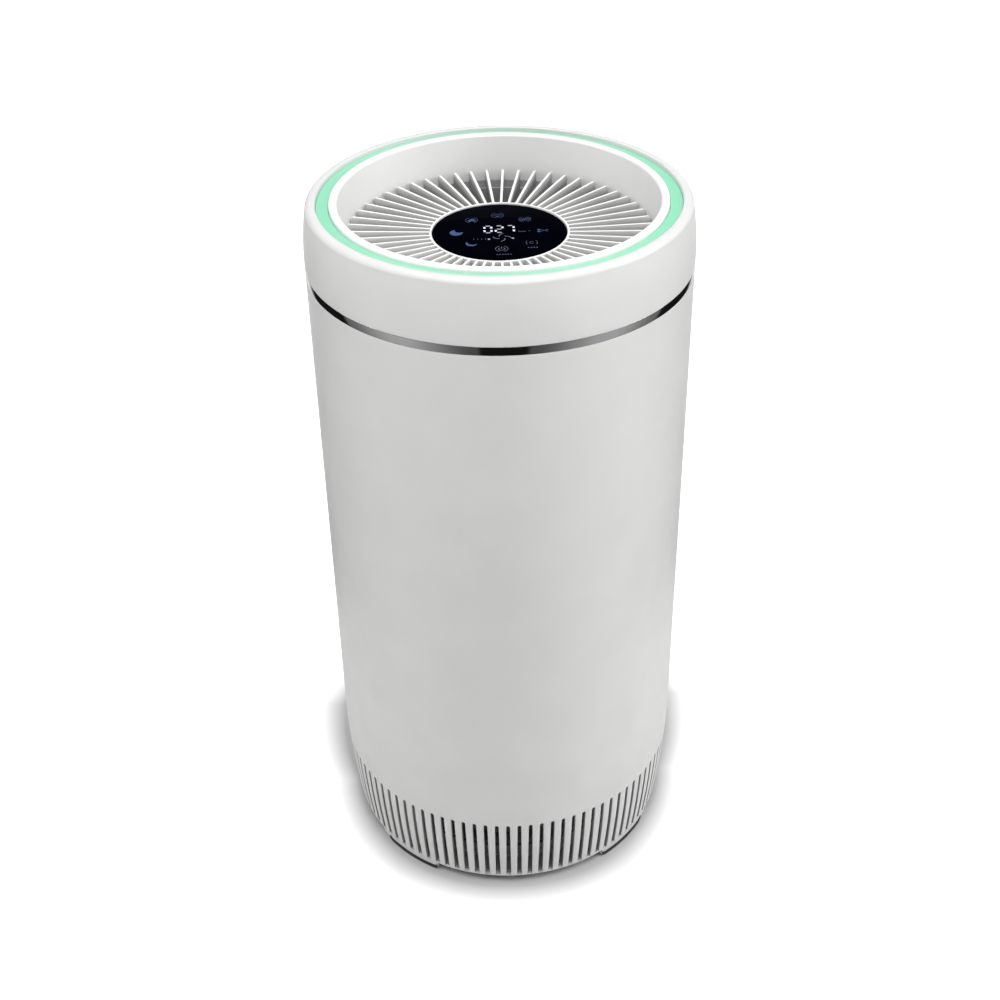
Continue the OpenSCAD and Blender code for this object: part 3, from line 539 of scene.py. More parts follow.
def casing_body():
    """Casing wall: a panel with a rounded slot per cell, and plain rows above and below."""
    bm = bmesh.new()
    edge = 0.35 * MM
    panel_top = cell_outline(0.0)[SLOT_ROWS + ARC_STEPS // 2][1]
    columns = [CELL_HALF * t for t in (-1.0, -math.tan(math.pi / 8), 0.0, math.tan(math.pi / 8), 1.0)]

    def point(cell, x, z, depth):
        """Point of a cell, x metres to the right of its middle and a depth under the surface."""
        surface = casing_radius(z)
        return polar(surface - depth, (cell + 0.5) * 2 * CELL_HALF + x / surface, z)

    def strip(first, second, closed=False):
        """Adds the faces between two rows of points."""
        count = len(first) if closed else len(first) - 1
        for i in range(count):
            m = (i + 1) % len(first)
            corners = [bm.verts.new(p) for p in (first[i], first[m], second[m], second[i])]
            bm.faces.new(corners)

    heights_up = [panel_top + (WIDEST_Z - panel_top) * k / 5 for k in range(6)]
    flare = [WIDEST_Z + (BAND_LOW - 1 * MM - WIDEST_Z) * k / 24 for k in range(1, 25)]
    outside = [(casing_radius(z), z) for z in heights_up + flare]
    top_corners = [
        (casing_radius(BAND_LOW), BAND_LOW, 0.2 * MM), (COLLAR_R, BAND_LOW, 0.2 * MM),
        (COLLAR_R, COLLAR_HIGH, 0.4 * MM), (COLLAR_IN, COLLAR_HIGH, 0.4 * MM),
        (COLLAR_IN, BAND_LOW, 0.4 * MM), (COLLAR_SEAT_R, BAND_LOW, 0.4 * MM),
        (COLLAR_SEAT_R, BAND_LOW - 2.4 * MM, 0.4 * MM),
        (casing_radius(BAND_LOW - 6 * MM) - CASING_WALL, BAND_LOW - 6 * MM, 0.0)
    ]
    start = (*outside[-1], 0.0)
    end = (casing_radius(BAND_LOW - 30 * MM) - CASING_WALL, BAND_LOW - 30 * MM, 0.0)
    top = rounded([start, *top_corners, end])
    inside = [(casing_radius(z) - CASING_WALL, z) for z in reversed(heights_up + flare)
              if z < BAND_LOW - 31 * MM]
    upper = outside + [p for p in top if p != start[:2]] + inside

    bottom_corners = [
        (0.0, SLOT_LOW - edge), (0.0, CASING_LOW + 0.6 * MM), (0.18 * MM, CASING_LOW + 0.18 * MM),
        (0.6 * MM, CASING_LOW), (CASING_WALL - 0.5 * MM, CASING_LOW),
        (CASING_WALL, CASING_LOW + 0.5 * MM), (CASING_WALL, SLOT_LOW)
    ]
    walls = [(edge, 0.0), (edge * 0.3, edge * 0.3), (0.0, edge), (0.0, CASING_WALL)]
    for cell in range(SLOT_COUNT):
        for offset, depth in (walls[0], walls[-1]):
            inner = [point(cell, x, z, depth) for x, z in slot_outline(offset)]
            outer = [point(cell, x, z, depth) for x, z in cell_outline(offset)]
            strip(inner, outer)
        loops = [[point(cell, x, z, depth) for x, z in slot_outline(offset)] for offset, depth in walls]
        for first, second in zip(loops, loops[1:]):
            strip(first, second, closed=True)
        rows = []
        for k, (depth, z) in enumerate(bottom_corners):
            half = SLOT_W_LOW / 2 + (edge if k < len(bottom_corners) - 1 else 0.0)
            side = CELL_HALF * casing_radius(z)
            rows.append([point(cell, x, z, depth) for x in (-side, -half, half, side)])
        for first, second in zip(rows, rows[1:]):
            strip(first, second)
        centre = (cell + 0.5) * 2 * CELL_HALF
        rows = [[polar(r, centre + turn, z) for turn in columns] for r, z in upper]
        for first, second in zip(rows, rows[1:]):
            strip(first, second)
    # Faces inside the slots take the second material, the dark grey of the painted shade
    for face in bm.faces:
        middle = face.calc_center_median()
        depth = casing_radius(middle.z) - math.hypot(middle.x, middle.y)
        if depth > edge and SLOT_LOW < middle.z < SLOT_TOP:
            face.material_index = 1
    return bm


INLET_LOW, INLET_HIGH = heights("power_inlet")


def cut_inlet(piece):
    """Cuts the mains socket's opening, with round corners, through the back of the casing."""
    bm = bmesh.new()
    half_w, half_h, corner = 14.3 * MM, 9.3 * MM, 1.5 * MM
    middle_z = (INLET_LOW + INLET_HIGH) / 2
    outline = rounded([(-half_w, -half_h, corner), (half_w, -half_h, corner),
                       (half_w, half_h, corner), (-half_w, half_h, corner)], steps=5)
    prism(bm, outline, -WIDEST_R - 10 * MM, -WIDEST_R + 20 * MM)
    bmesh.ops.recalc_face_normals(bm, faces=bm.faces)
    to_the_back = Matrix.Translation((0, 0, middle_z)) @ Matrix.Rotation(math.pi / 2, 4, "X")
    bmesh.ops.transform(bm, matrix=to_the_back, verts=bm.verts)
    mesh = bpy.data.meshes.new("inlet_cutter")
    bm.to_mesh(mesh)
    bm.free()
    cutter = bpy.data.objects.new("inlet_cutter", mesh)
    bpy.context.scene.collection.objects.link(cutter)
    cut = piece.modifiers.new("inlet", "BOOLEAN")
    cut.object = cutter
    cut.operation = "DIFFERENCE"
    cut.solver = "EXACT"
    graph = bpy.context.evaluated_depsgraph_get()
    result = bpy.data.meshes.new_from_object(piece.evaluated_get(graph))
    piece.modifiers.clear()
    piece.data = result
    result.set_sharp_from_angle(angle=SHARP_ANGLE)
    bpy.data.objects.remove(cutter)


casing = finish_piece("outer_casing_shell", casing_body(), MATERIALS["white_plastic"], "housing",
                      ["outer_casing"])
casing.data.materials.append(SLOT_MATERIAL)
cut_inlet(casing)

# ---------------------------------------------------------------- head, bowl, band and lit ring

RIM_FILLET = 3.6 * MM
HEAD_DRAW = 3.3 * MM
HEAD_WALL_H = RIM_TOP - HEAD_LOW - RIM_FILLET
LIGHT_SEAT_R = 110.8 * MM
LIP_R = 103.3 * MM
HEAD_STEP_R = 106.3 * MM
LEDGE_LOW = LEDGE_TOP - 1.9 * MM


def head_outline():
    """Section of the head shell: a wall that draws in, a round rim and the ledge under the lit ring."""
    steps = 12
    wall = []
    for k in range(steps + 1):
        z = HEAD_WALL_H * k / steps
        fillet = 0.2 * MM if k == 0 else 0.0
        wall.append((BAND_R - HEAD_DRAW * (z / HEAD_WALL_H) ** 2.2, HEAD_LOW + z, fillet))
    centre_r = wall[-1][0] - RIM_FILLET
    turns = [math.radians(90 * k / 8) for k in range(1, 9)]
    rim = [(centre_r + RIM_FILLET * math.cos(a), RIM_TOP - RIM_FILLET + RIM_FILLET * math.sin(a), 0.0)
           for a in turns]
    groove_r = LIGHT_OUT + 0.3 * MM
    rest = [
        (groove_r, RIM_TOP, 0.8 * MM), (groove_r, LEDGE_TOP, 0.2 * MM), (LIGHT_SEAT_R, LEDGE_TOP, 0.3 * MM),
        (LIGHT_SEAT_R, LEDGE_LOW, 0.2 * MM), (HEAD_STEP_R, LEDGE_LOW, 0.3 * MM),
        (HEAD_STEP_R, LEDGE_LOW - 2 * MM, 0.3 * MM), (centre_r, LEDGE_LOW - 2 * MM, 0.5 * MM),
        (BAND_R - 3 * MM, HEAD_LOW + 12 * MM, 0.5 * MM),
        (BAND_R - 3 * MM, HEAD_LOW, 0.3 * MM)
    ]
    return rounded(wall + rim + rest)


def bowl_outline():
    """Section of the bowl: its sloping wall, the round lip and the flange on the head's ledge."""
    foot_r = DUCT_R + 0.2 * MM
    wall_t = 2.4 * MM
    groove_r = LIGHT_IN - 0.4 * MM
    return rounded([
        (foot_r, BOWL_LOW, 0.3 * MM), (LIP_R + 0.2 * MM, RIM_TOP, 2.1 * MM), (groove_r, RIM_TOP, 2 * MM),
        (groove_r, LEDGE_TOP, 0.2 * MM), (LIGHT_SEAT_R - 0.2 * MM, LEDGE_TOP, 0.3 * MM),
        (LIGHT_SEAT_R - 0.2 * MM, LEDGE_LOW, 0.3 * MM), (LIP_R + 2.2 * MM, LEDGE_LOW, 0.3 * MM),
        (foot_r + wall_t, BOWL_LOW, 0.3 * MM)
    ], steps=8)


def band_outline():
    """Section of the trim band, slightly crowned."""
    outer_r = BAND_R - 0.25 * MM
    low, high = heights("chrome_band")
    return rounded([
        (outer_r, low, 0.12 * MM), (outer_r, high, 0.12 * MM), (BAND_R - 3 * MM, high, 0.1 * MM),
        (BAND_R - 3 * MM, low, 0.1 * MM)
    ])


def light_outline():
    """Section of the light guide."""
    return rounded([
        (LIGHT_IN, LIGHT_LOW, 0.2 * MM), (LIGHT_OUT, LIGHT_LOW, 0.2 * MM), (LIGHT_OUT, LIGHT_TOP, 0.6 * MM),
        (LIGHT_IN, LIGHT_TOP, 0.6 * MM)
    ])


def turned_piece(name, outline, slot, replaces, material=None):
    """A piece turned round the axis that rides on the housing."""
    bm = bmesh.new()
    lathe(bm, outline)
    return finish_piece(name, bm, material or MATERIALS[slot], "housing", replaces)


turned_piece("head_shell_skin", head_outline(), "white_plastic", ["head_shell"])
# The bowl wears the lighter copy of the white plastic: painted light
turned_piece("outlet_bowl_skin", bowl_outline(), "white_plastic", ["outlet_bowl"], BOWL_MATERIAL)
turned_piece("chrome_band_trim", band_outline(), "chrome", ["chrome_band"])
turned_piece("light_ring_guide", light_outline(), "light_guide", ["light_ring"])

# ---------------------------------------------------------------- grille and display

BEZEL_R = GLASS_R + 0.4 * MM
BEZEL_T = 1.5 * MM
BEZEL_TOP = BLADE_TOP - 1.1 * MM
BLADE_R_OUT = reach("outlet_grille")[1]
FLANGE_R = 30 * MM
DUCT_TOP = BLADE_LOW + 7.5 * MM
DUCT_LEDGE_Z = DUCT_TOP - 5.2 * MM


def blade_outline():
    """Side view of a blade as (distance from the axis, height)."""
    tongue_r = DUCT_R - 0.4 * MM
    notch_r = DUCT_R - 2.4 * MM
    root_r = BEZEL_R + BEZEL_T / 2
    return [
        (root_r, BLADE_LOW), (notch_r, BLADE_LOW), (notch_r, DUCT_LEDGE_Z), (tongue_r, DUCT_LEDGE_Z),
        (tongue_r, DUCT_TOP - 1 * MM), (BLADE_R_OUT, DUCT_TOP + 1 * MM), (BLADE_R_OUT, BLADE_TOP - 1.4 * MM),
        (BLADE_R_OUT - 1.2 * MM, BLADE_TOP), (root_r, BEZEL_TOP - 0.2 * MM)
    ]


def grille():
    """Bezel ring with its screw flange and the radial blades, one of them straight to the front."""
    blade = bmesh.new()
    prism(blade, blade_outline(), -BLADE_T / 2, BLADE_T / 2)
    bevel_edges(blade, 0.25 * MM, segments=2, angle_deg=20)
    mesh = bpy.data.meshes.new("one_blade")
    blade.to_mesh(mesh)
    blade.free()
    bm = bmesh.new()
    upright = Matrix.Rotation(-math.pi / 2, 4, "Z") @ Matrix.Rotation(math.pi / 2, 4, "X")
    for i in range(BLADE_COUNT):
        before = len(bm.verts)
        bm.from_mesh(mesh)
        bm.verts.ensure_lookup_table()
        turn = Matrix.Rotation(2 * math.pi * i / BLADE_COUNT, 4, "Z") @ upright
        bmesh.ops.transform(bm, matrix=turn, verts=bm.verts[before:])
    bpy.data.meshes.remove(mesh)
    lathe(bm, rounded([
        (BEZEL_R, BLADE_LOW + 2 * MM, 0.2 * MM), (FLANGE_R, BLADE_LOW + 2 * MM, 0.3 * MM),
        (FLANGE_R, BLADE_LOW, 0.3 * MM), (BEZEL_R + BEZEL_T, BLADE_LOW, 0.3 * MM),
        (BEZEL_R + BEZEL_T, BEZEL_TOP, 0.5 * MM), (BEZEL_R, BEZEL_TOP, 0.4 * MM)
    ]))
    return bm


finish_piece("outlet_grille_blades", grille(), MATERIALS["grille_plastic"], "housing", ["outlet_grille"],
             merge=1e-7)


def glass_disc():
    """Display glass with a polished, rounded rim."""
    bm = bmesh.new()
    outline = rounded([
        (0.5 * MM, GLASS_LOW, 0.0), (GLASS_R, GLASS_LOW, 0.2 * MM), (GLASS_R, GLASS_TOP, 0.5 * MM),
        (0.5 * MM, GLASS_TOP, 0.0)
    ])
    lathe(bm, outline, 192)
    inner = [f for f in bm.faces if max(math.hypot(v.co.x, v.co.y) for v in f.verts) < 0.6 * MM]
    bmesh.ops.delete(bm, geom=inner, context="FACES_ONLY")
    bmesh.ops.remove_doubles(bm, verts=bm.verts, dist=1e-7)
    bmesh.ops.holes_fill(bm, edges=[e for e in bm.edges if e.is_boundary], sides=0)
    return bm


finish_piece("display_glass_disc", glass_disc(), MATERIALS["display_black"], "housing", ["display_glass"])

SYMBOL_LOW = GLASS_TOP - 0.02 * MM
SYMBOL_HIGH = GLASS_TOP + 0.04 * MM
SYMBOL_SIZE = 4 * MM


def box_shape(x, y, width, height, turn_deg=0.0):
    """Corners of a small bar centred on x, y."""
    turn = Matrix.Rotation(math.radians(turn_deg), 2)
    sides = [(-1, -1), (1, -1), (1, 1), (-1, 1)]
    return [tuple(turn @ Vector((a * width / 2, b * height / 2)) + Vector((x, y))) for a, b in sides]


def disc_shape(x, y, width, count=20):
    """Round outline centred on x, y."""
    turns = [2 * math.pi * k / count for k in range(count)]
    return [(x + width / 2 * math.cos(a), y + width / 2 * math.sin(a)) for a in turns]


def arc_shape(x, y, radius, stroke, start_deg, end_deg, count=14):
    """A stroke along an arc."""
    turns = [math.radians(start_deg + (end_deg - start_deg) * k / count) for k in range(count + 1)]
    far, near = radius + stroke / 2, radius - stroke / 2
    outer = [(x + far * math.cos(a), y + far * math.sin(a)) for a in turns]
    inner = [(x + near * math.cos(a), y + near * math.sin(a)) for a in turns]
    return outer + inner[::-1]


def crescent_shape(x, y, radius, bite_radius, bite, turn_deg, count=16):
    """Crescent: a disc less a second disc whose centre lies a bite away, in the direction turn_deg."""
    outer_half = math.acos((radius**2 + bite**2 - bite_radius**2) / (2 * radius * bite))
    inner_half = math.acos((bite_radius**2 + bite**2 - radius**2) / (2 * bite_radius * bite))
    base = math.radians(turn_deg)
    centre = Vector((x, y))
    bite_centre = centre + bite * Vector((math.cos(base), math.sin(base)))
    points = []
    for k in range(count + 1):
        turn = base + outer_half + (2 * math.pi - 2 * outer_half) * k / count
        points.append(tuple(centre + radius * Vector((math.cos(turn), math.sin(turn)))))
    for k in range(count + 1):
        turn = base + math.pi + inner_half - 2 * inner_half * k / count
        points.append(tuple(bite_centre + bite_radius * Vector((math.cos(turn), math.sin(turn)))))
    return points


DIGIT_W = 4.5 * MM
DIGIT_H = 10.2 * MM
DIGIT_PITCH = 7.3 * MM
DIGIT_X = -0.15 * MM
DIGIT_Y = 3.9 * MM
READING = "027"
SEGMENTS = {"0": "abcdef", "2": "abged", "7": "abc"}


def digit_bars(digit, x, y):
    """Level segments of a digit."""
    levels = {"a": DIGIT_H / 2, "g": 0.0, "d": -DIGIT_H / 2}
    return [box_shape(x, y + levels[s], 2.9 * MM, 1.2 * MM) for s in SEGMENTS[digit] if s in levels]


def digit_dots(digit, x, y):
    """Upright segments of a digit; each shows as one short dot of light."""
    sides = {"b": (1, 1), "c": (1, -1), "e": (-1, -1), "f": (-1, 1)}
    shapes = []
    for segment in SEGMENTS[digit]:
        if segment in sides:
            side, level = sides[segment]
            place = (x + side * DIGIT_W / 2, y + level * DIGIT_H / 4)
            shapes.append(box_shape(*place, 1.45 * MM, 2.5 * MM))
    return shapes


def reading(draw):
    """Shapes of all digits, drawn by digit_bars or digit_dots."""
    shapes = []
    for k, digit in enumerate(READING):
        shapes += draw(digit, DIGIT_X + (k - 1) * DIGIT_PITCH, DIGIT_Y)
    return shapes


def fan_symbol():
    """Fan mark with four curved blades under the reading."""
    x, y = 1.3 * MM, -8.8 * MM
    offset = Vector((1.9 * MM, 2.3 * MM))
    shapes = []
    for k in range(4):
        centre = Matrix.Rotation(math.radians(-90 * k), 2) @ offset
        start = 190 - 90 * k
        shapes.append(arc_shape(x + centre.x, y + centre.y, 3.65 * MM, 0.55 * MM, start, start - 86))
    return shapes


def ringed(x, y):
    """Two arcs that hold a symbol."""
    return [arc_shape(x, y, SYMBOL_SIZE, 0.35 * MM, start, start + 140) for start in (110, -70)]


def cloud_shapes(x, y):
    """Cloud of three round lobes."""
    return [
        disc_shape(x - 1.3 * MM, y - 0.9 * MM, 2.4 * MM), disc_shape(x + 0.3 * MM, y + 0.5 * MM, 3.2 * MM),
        disc_shape(x + 1.5 * MM, y - 0.7 * MM, 2.6 * MM)
    ]


def leaf_shapes(x, y):
    """Slanting strokes that fill a round mark."""
    return [box_shape(x + k * 1.3 * MM, y, 0.55 * MM, (5.6 - 0.9 * abs(k)) * MM, -22) for k in range(-2, 3)]


def house_shapes(x, y):
    """Roof over a small drop."""
    roof = [box_shape(x + side * 1.4 * MM, y + 0.9 * MM, 3.8 * MM, 0.5 * MM, -side * 44) for side in (-1, 1)]
    return roof + [disc_shape(x, y - 1.3 * MM, 1.6 * MM), box_shape(x, y - 2.6 * MM, 4.4 * MM, 0.4 * MM)]


CLOUD_PLACE = (-17.9 * MM, 19.0 * MM)
HOUSE_PLACE = (-0.5 * MM, 25.6 * MM)
LEAF_PLACE = (17.3 * MM, 18.2 * MM)
CROSS_PLACE = (28.1 * MM, 0.0)
POWER_PLACE = (0.5 * MM, -25.8 * MM)
BRACKET_PLACE = (20.0 * MM, -17.6 * MM)


def solid_symbols():
    """Filled touch symbols round the reading."""
    x, y = CROSS_PLACE
    shapes = [crescent_shape(-28.2 * MM, 0.0, 4.3 * MM, 3.0 * MM, 3.7 * MM, 56)]
    shapes.append(crescent_shape(-18.6 * MM, -17.0 * MM, 3.7 * MM, 3.5 * MM, 2.0 * MM, 62))
    shapes += cloud_shapes(*CLOUD_PLACE)
    shapes += [disc_shape(x - 2.6 * MM, y + side * 1.3 * MM, 2.0 * MM) for side in (-1, 1)]
    return shapes


def line_symbols():
    """Touch symbols drawn in thin strokes."""
    x, y = CROSS_PLACE
    shapes = ringed(*CLOUD_PLACE) + ringed(*HOUSE_PLACE) + ringed(*LEAF_PLACE)
    shapes += house_shapes(*HOUSE_PLACE) + leaf_shapes(*LEAF_PLACE)
    shapes += [box_shape(x + 1.0 * MM, y, 5.8 * MM, 0.5 * MM, turn) for turn in (28, -28)]
    return shapes


def small_lamps():
    """Two small lamps that stand beside the fan mark."""
    return [
        box_shape(-7.2 * MM, -11 * MM, 1.4 * MM, 1.6 * MM),
        box_shape(8.2 * MM, -10.4 * MM, 1.5 * MM, 1.4 * MM)
    ]


def bar_row(x, y, count, pitch, width, height):
    """A row of small bars centred on x, y."""
    first = x - pitch * (count - 1) / 2
    return [box_shape(first + k * pitch, y, width, height) for k in range(count)]


def power_symbol():
    """Open ring with a stroke at its top, held by two arcs."""
    x, y = POWER_PLACE
    ring = arc_shape(x, y - 0.2 * MM, 2.0 * MM, 0.5 * MM, 125, 415)
    return ringed(x, y) + [ring, box_shape(x, y + 1.6 * MM, 0.5 * MM, 2.6 * MM)]


def dim_marks():
    """Faint marks: brackets and the bars that stand beside the symbols."""
    x, y = POWER_PLACE
    shapes = bar_row(x + 1.2 * MM, y - 8.2 * MM, 6, 1.7 * MM, 1.1 * MM, 0.9 * MM)
    x, y = BRACKET_PLACE
    for side in (-1, 1):
        shapes.append(box_shape(x + side * 3.5 * MM, y, 0.4 * MM, 4.6 * MM))
        shapes += [box_shape(x + side * 3.1 * MM, y + end * 2.2 * MM, 0.9 * MM, 0.4 * MM) for end in (-1, 1)]
    shapes.append(arc_shape(x, y, 1.3 * MM, 0.45 * MM, 40, 320))
    shapes += bar_row(x + 0.3 * MM, y - 7.4 * MM, 4, 1.8 * MM, 1.0 * MM, 1.2 * MM)
    shapes += bar_row(14.6 * MM, -0.6 * MM, 4, 1.3 * MM, 0.7 * MM, 1.2 * MM)
    shapes.append(box_shape(19.4 * MM, 0.1 * MM, 1.2 * MM, 0.6 * MM))
    shapes += bar_row(-13.2 * MM, -10.6 * MM, 4, 2.5 * MM, 0.5 * MM, 1.3 * MM)
    return shapes


def symbol_piece(name, shapes, color, strength):
    """Thin inlays in the glass that shine."""
    bm = bmesh.new()
    for shape in shapes:
        prism(bm, shape, SYMBOL_LOW, SYMBOL_HIGH)
    look = lit_symbol(name + "_light", color, strength)
    return finish_piece(name, bm, look.material, "housing", merge=1e-8)


symbol_piece("display_digit_dots", reading(digit_dots), (0.80, 0.92, 1.0), 1.0)
symbol_piece("display_digit_bars", reading(digit_bars) + small_lamps(), (0.76, 0.80, 0.90), 0.55)
symbol_piece("display_fan_mark", fan_symbol(), (0.52, 0.52, 0.85), 0.24)
symbol_piece("display_symbols", solid_symbols(), (0.13, 0.33, 1.0), 0.17)
symbol_piece("display_symbol_lines", line_symbols(), (0.16, 0.34, 1.0), 0.07)
symbol_piece("display_power_mark", power_symbol(), (0.52, 0.52, 0.95), 0.14)
symbol_piece("display_dim_marks", dim_marks(), (0.50, 0.46, 0.95), 0.055)

# ---------------------------------------------------------------- rubber pads under the feet

FOOT_COUNT = 4
FOOT_FIRST = math.radians(48)
FOOT_ANGLE = math.radians(26.6)
PAD_SHORT = math.radians(3.6)  # a pad stops short of the end of its foot that is nearer the side
PAD_LIP = 0.5 * MM
PAD_WALL_TOP = PAD_TOP + 0.9 * MM
PAD_TURN_UP = 1.9 * MM
PAD_FLAT_SHARE = 0.86


def pad_lift(share):
    """Rise of a pad along its length: flat, then turned up at both ends."""
    from_middle = abs(2 * share - 1)
    return PAD_TURN_UP * max(0.0, (from_middle - PAD_FLAT_SHARE) / (1 - PAD_FLAT_SHARE)) ** 1.5


def pads():
    """Curved rubber pads that turn up a little round the ends of the feet."""
    bm = bmesh.new()
    inner_r, outer_r = reach("foot_pads")
    outer_r += PAD_LIP
    section = rounded([
        (inner_r, 0, 0.3 * MM), (outer_r, 0, 0.3 * MM), (outer_r, PAD_WALL_TOP, 0.1 * MM),
        (inner_r, PAD_WALL_TOP, 0.1 * MM)
    ], steps=3)
    for i in range(FOOT_COUNT):
        middle = FOOT_FIRST + 2 * math.pi * i / FOOT_COUNT
        start = middle - FOOT_ANGLE / 2 + (PAD_SHORT if i % 2 else 0)
        lathe(bm, section, 48, start, FOOT_ANGLE - PAD_SHORT, pad_lift)
    return bm


finish_piece("foot_pad_rubbers", pads(), MATERIALS["rubber"], "housing", ["foot_pads"])

# ---------------------------------------------------------------- floor, light and camera

FLOOR_TONE = 0.72
# Shape of the painted shadow on the floor round the tower
SHADE_SIDE_FROM, SHADE_SIDE_DRAW = 90 * MM, 0.12
SHADE_BEHIND_FROM, SHADE_BEHIND_RUN, SHADE_BEHIND_REACH = 10 * MM, 90 * MM, 0.45


def stage_object(name, bm, material):
    """A prop that stands outside the part, from a bmesh."""
    mesh = bpy.data.meshes.new(name)
    bm.to_mesh(mesh)
    bm.free()
    mesh.materials.append(material)
    prop = bpy.data.objects.new(name, mesh)
    bpy.context.scene.collection.objects.link(prop)
    return prop


def shade_distance(look):
    """Distance from the axis, drawn in so that the painted shadow is narrower at the sides and longer behind.
    """
    distance = look.add("ShaderNodeVectorMath", {0: look.place}, operation="LENGTH").outputs["Value"]
    parts = look.add("ShaderNodeSeparateXYZ", {0: look.place}).outputs
    beyond_side = look.math("SUBTRACT", look.math("ABSOLUTE", parts["X"]), SHADE_SIDE_FROM)
    side = look.math("MAXIMUM", beyond_side, 0.0)
    towards_back = look.math("ADD", parts["Y"], SHADE_BEHIND_FROM)
    behind = look.math("MINIMUM", look.math("MAXIMUM", towards_back, 0.0), SHADE_BEHIND_RUN)
    longer = look.math("MULTIPLY", behind, SHADE_BEHIND_REACH)
    narrower = look.math("MULTIPLY", side, SHADE_SIDE_DRAW)
    return look.math("SUBTRACT", distance, look.math("SUBTRACT", longer, narrower))


def make_floor(name, shade, glow_start, glow_end, glow):
    """White floor whose colour falls to a painted shade tone near the tower and which glows away from it; it
    can't be seen from below.
    """
    look = Look(name + "_white", (0.8, 0.8, 0.8), 0.9, Specular_IOR_Level=0.0)
    look.set("Emission Color", (1.0, 1.0, 1.0, 1.0))
    distance = shade_distance(look)
    look.link(look.spread(distance, shade, FLOOR_TONE, glow_start, glow_end), "Base Color")
    look.link(look.spread(distance, 0.0, glow, glow_start, glow_end), "Emission Strength")
    below = look.add("ShaderNodeNewGeometry").outputs["Backfacing"]
    clear = look.add("ShaderNodeBsdfTransparent").outputs[0]
    choice = look.add("ShaderNodeMixShader", {0: below, 1: look.shader.outputs[0], 2: clear})
    look.tree.links.new(choice.outputs[0], look.tree.nodes["Material Output"].inputs["Surface"])
    bm = bmesh.new()
    bmesh.ops.create_grid(bm, x_segments=8, y_segments=8, size=6.0)
    floor = stage_object(name, bm, look.material)
    floor.location = (0, 0, -0.05 * MM)
    return floor


def make_floors():
    """The floor that is seen, with a soft painted shadow under the tower, and the one that bounces light."""
    seen = make_floor("floor", shade=0.45, glow_start=0.129, glow_end=0.162, glow=0.6)
    seen.visible_diffuse = False
    seen.visible_glossy = False
    bounce = make_floor("bounce_floor", shade=FLOOR_TONE, glow_start=0.2, glow_end=1.2, glow=0.4)
    bounce.visible_camera = False
    bounce.location.z = -0.15 * MM


# Tone of the painted reflection's boards by degrees from the front, the same to the left and right: a dark
# board in front, grey beside it, a dark board at each side and white behind
PAINTED_REFLECTION_TONES = [(12, 0.01), (15, 0.1), (60, 0.55), (95, 0.2), (100, 0.01), (135, 0.01), (150, 1.0)]


def painted_reflection_material():
    """Glow of the painted reflection, whose tone depends on the azimuth from the front."""
    material = bpy.data.materials.new("painted_reflection_boards")
    material.use_nodes = True
    tree = material.node_tree
    place = tree.nodes.new("ShaderNodeTexCoord")
    parts = tree.nodes.new("ShaderNodeSeparateXYZ")
    tones = tree.nodes.new("ShaderNodeValToRGB")
    glow = tree.nodes.new("ShaderNodeEmission")
    steps = []
    for operation, second in (("MULTIPLY", -1.0), ("ARCTAN2", 0.0), ("ABSOLUTE", 0.0), ("DIVIDE", math.pi)):
        step = tree.nodes.new("ShaderNodeMath")
        step.operation = operation
        step.inputs[1].default_value = second
        steps.append(step)
    towards_front, azimuth, either_side, share = steps
    chain = (
        (place.outputs["Object"], parts.inputs[0]), (parts.outputs["Y"], towards_front.inputs[0]),
        (parts.outputs["X"], azimuth.inputs[0]), (towards_front.outputs[0], azimuth.inputs[1]),
        (azimuth.outputs[0], either_side.inputs[0]), (either_side.outputs[0], share.inputs[0]),
        (share.outputs[0], tones.inputs["Fac"]), (tones.outputs["Color"], glow.inputs["Color"]),
        (glow.outputs[0], tree.nodes["Material Output"].inputs["Surface"])
    )
    for output, entry in chain:
        tree.links.new(output, entry)
    ramp = tones.color_ramp
    ramp.interpolation = "EASE"
    while len(ramp.elements) > 1:
        ramp.elements.remove(ramp.elements[-1])
    for k, (degrees, tone) in enumerate(PAINTED_REFLECTION_TONES):
        at = degrees / 180
        stop = ramp.elements[0] if k == 0 else ramp.elements.new(at)
        stop.position = at
        stop.color = (tone, tone, tone, 1.0)
    return material


def make_painted_reflection():
    """Painted reflection: grey boards on the floor round the tower that only polished metal shows."""
    bm = bmesh.new()
    near, far, low, high = 0.35, 3.2, 0.2 * MM, 0.4 * MM
    lathe(bm, [(near, high), (far, high), (far, low), (near, low)], 96)
    painted_reflection = stage_object("painted_reflection", bm, painted_reflection_material())
    painted_reflection.visible_camera = False
    painted_reflection.visible_diffuse = False
    painted_reflection.visible_shadow = False
    painted_reflection.visible_transmission = False


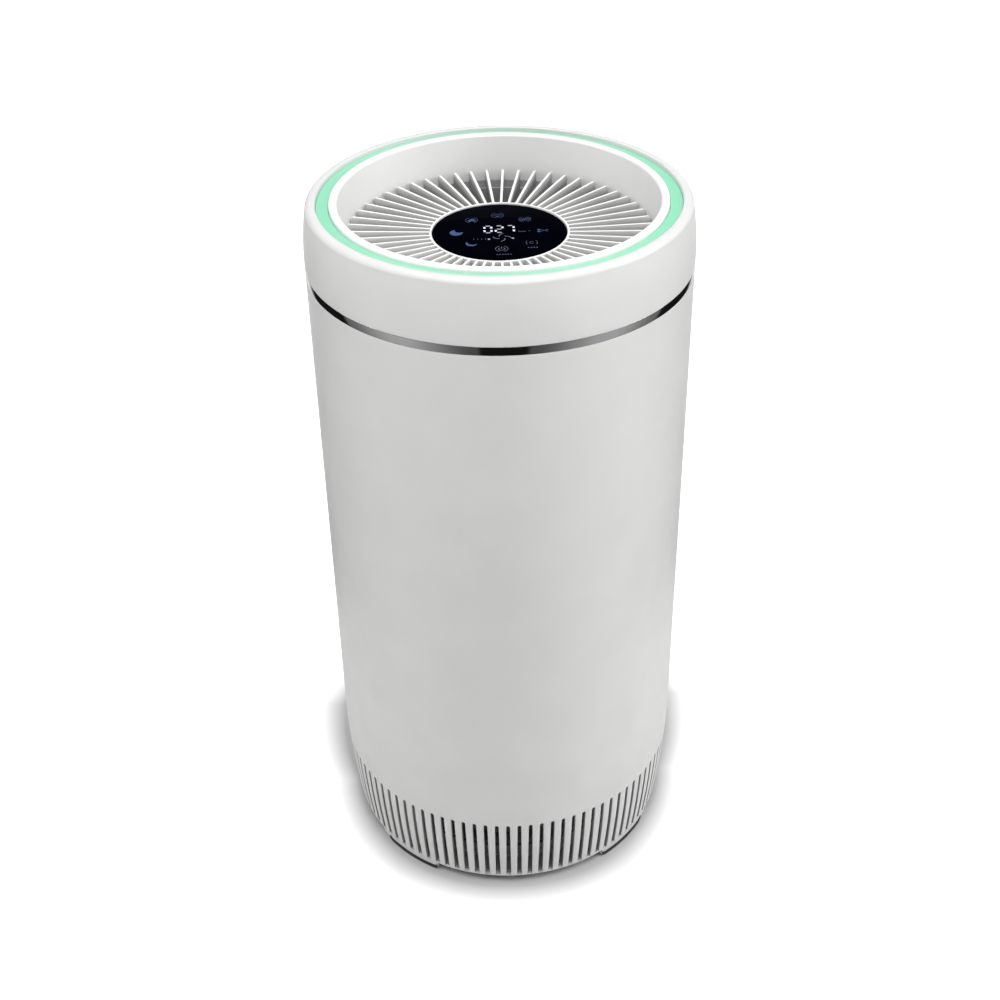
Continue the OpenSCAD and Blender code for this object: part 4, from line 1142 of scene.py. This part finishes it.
def make_world(strength):
    """Even white surroundings."""
    world = bpy.data.worlds.new("studio")
    world.use_nodes = True
    background = world.node_tree.nodes["Background"]
    background.inputs["Color"].default_value = (1.0, 1.0, 1.0, 1.0)
    background.inputs["Strength"].default_value = strength
    bpy.context.scene.world = world


def softbox(name, location, size, power):
    """Square area light aimed at the middle of the tower."""
    light = bpy.data.lights.new(name, "AREA")
    light.shape = "SQUARE"
    light.size = size
    light.energy = power
    lamp = bpy.data.objects.new(name, light)
    lamp.location = location
    aim = Vector((0, 0, RIM_TOP / 2)) - lamp.location
    lamp.rotation_mode = "QUATERNION"
    lamp.rotation_quaternion = aim.to_track_quat("-Z", "Y")
    bpy.context.scene.collection.objects.link(lamp)


CAMERA_DISTANCE, CAMERA_HEIGHT = 0.8269, 0.8694
CAMERA_AZIMUTH, CAMERA_PITCH, CAMERA_ROLL = math.radians(-1.6), math.radians(35.545), math.radians(-1.012)
CAMERA_SWING = math.radians(0.194)
CAMERA_LENS = 49.45


def make_camera():
    """Camera above the front, looking down on the rim."""
    camera = bpy.data.cameras.new("camera")
    camera.sensor_width = 36.0
    camera.lens = CAMERA_LENS
    camera.clip_start = 0.01
    rig = bpy.data.objects.new("camera", camera)
    place = Matrix.Rotation(CAMERA_AZIMUTH, 4, "Z") @ Vector((0, -CAMERA_DISTANCE, CAMERA_HEIGHT))
    heading = Matrix.Rotation(CAMERA_AZIMUTH + CAMERA_SWING, 4, "Z")
    tilt = Matrix.Rotation(math.pi / 2 - CAMERA_PITCH, 4, "X") @ Matrix.Rotation(CAMERA_ROLL, 4, "Z")
    rig.matrix_world = Matrix.Translation(place) @ heading @ tilt
    bpy.context.scene.collection.objects.link(rig)
    bpy.context.scene.camera = rig


make_floors()
make_painted_reflection()
make_world(strength=0.3)
softbox("overhead_light", (0.0, 0.0, 4.0), size=4.0, power=136.0)
softbox("front_light", (0.0, -0.6, 1.2), size=0.5, power=4.0)
softbox("right_light", (2.4, -0.3, 1.6), size=1.6, power=43.5)
softbox("left_light", (-2.4, -0.1, 1.5), size=1.4, power=21.5)
make_camera()
scene = bpy.context.scene
scene.view_settings.view_transform = "Standard"
scene.view_settings.look = "None"
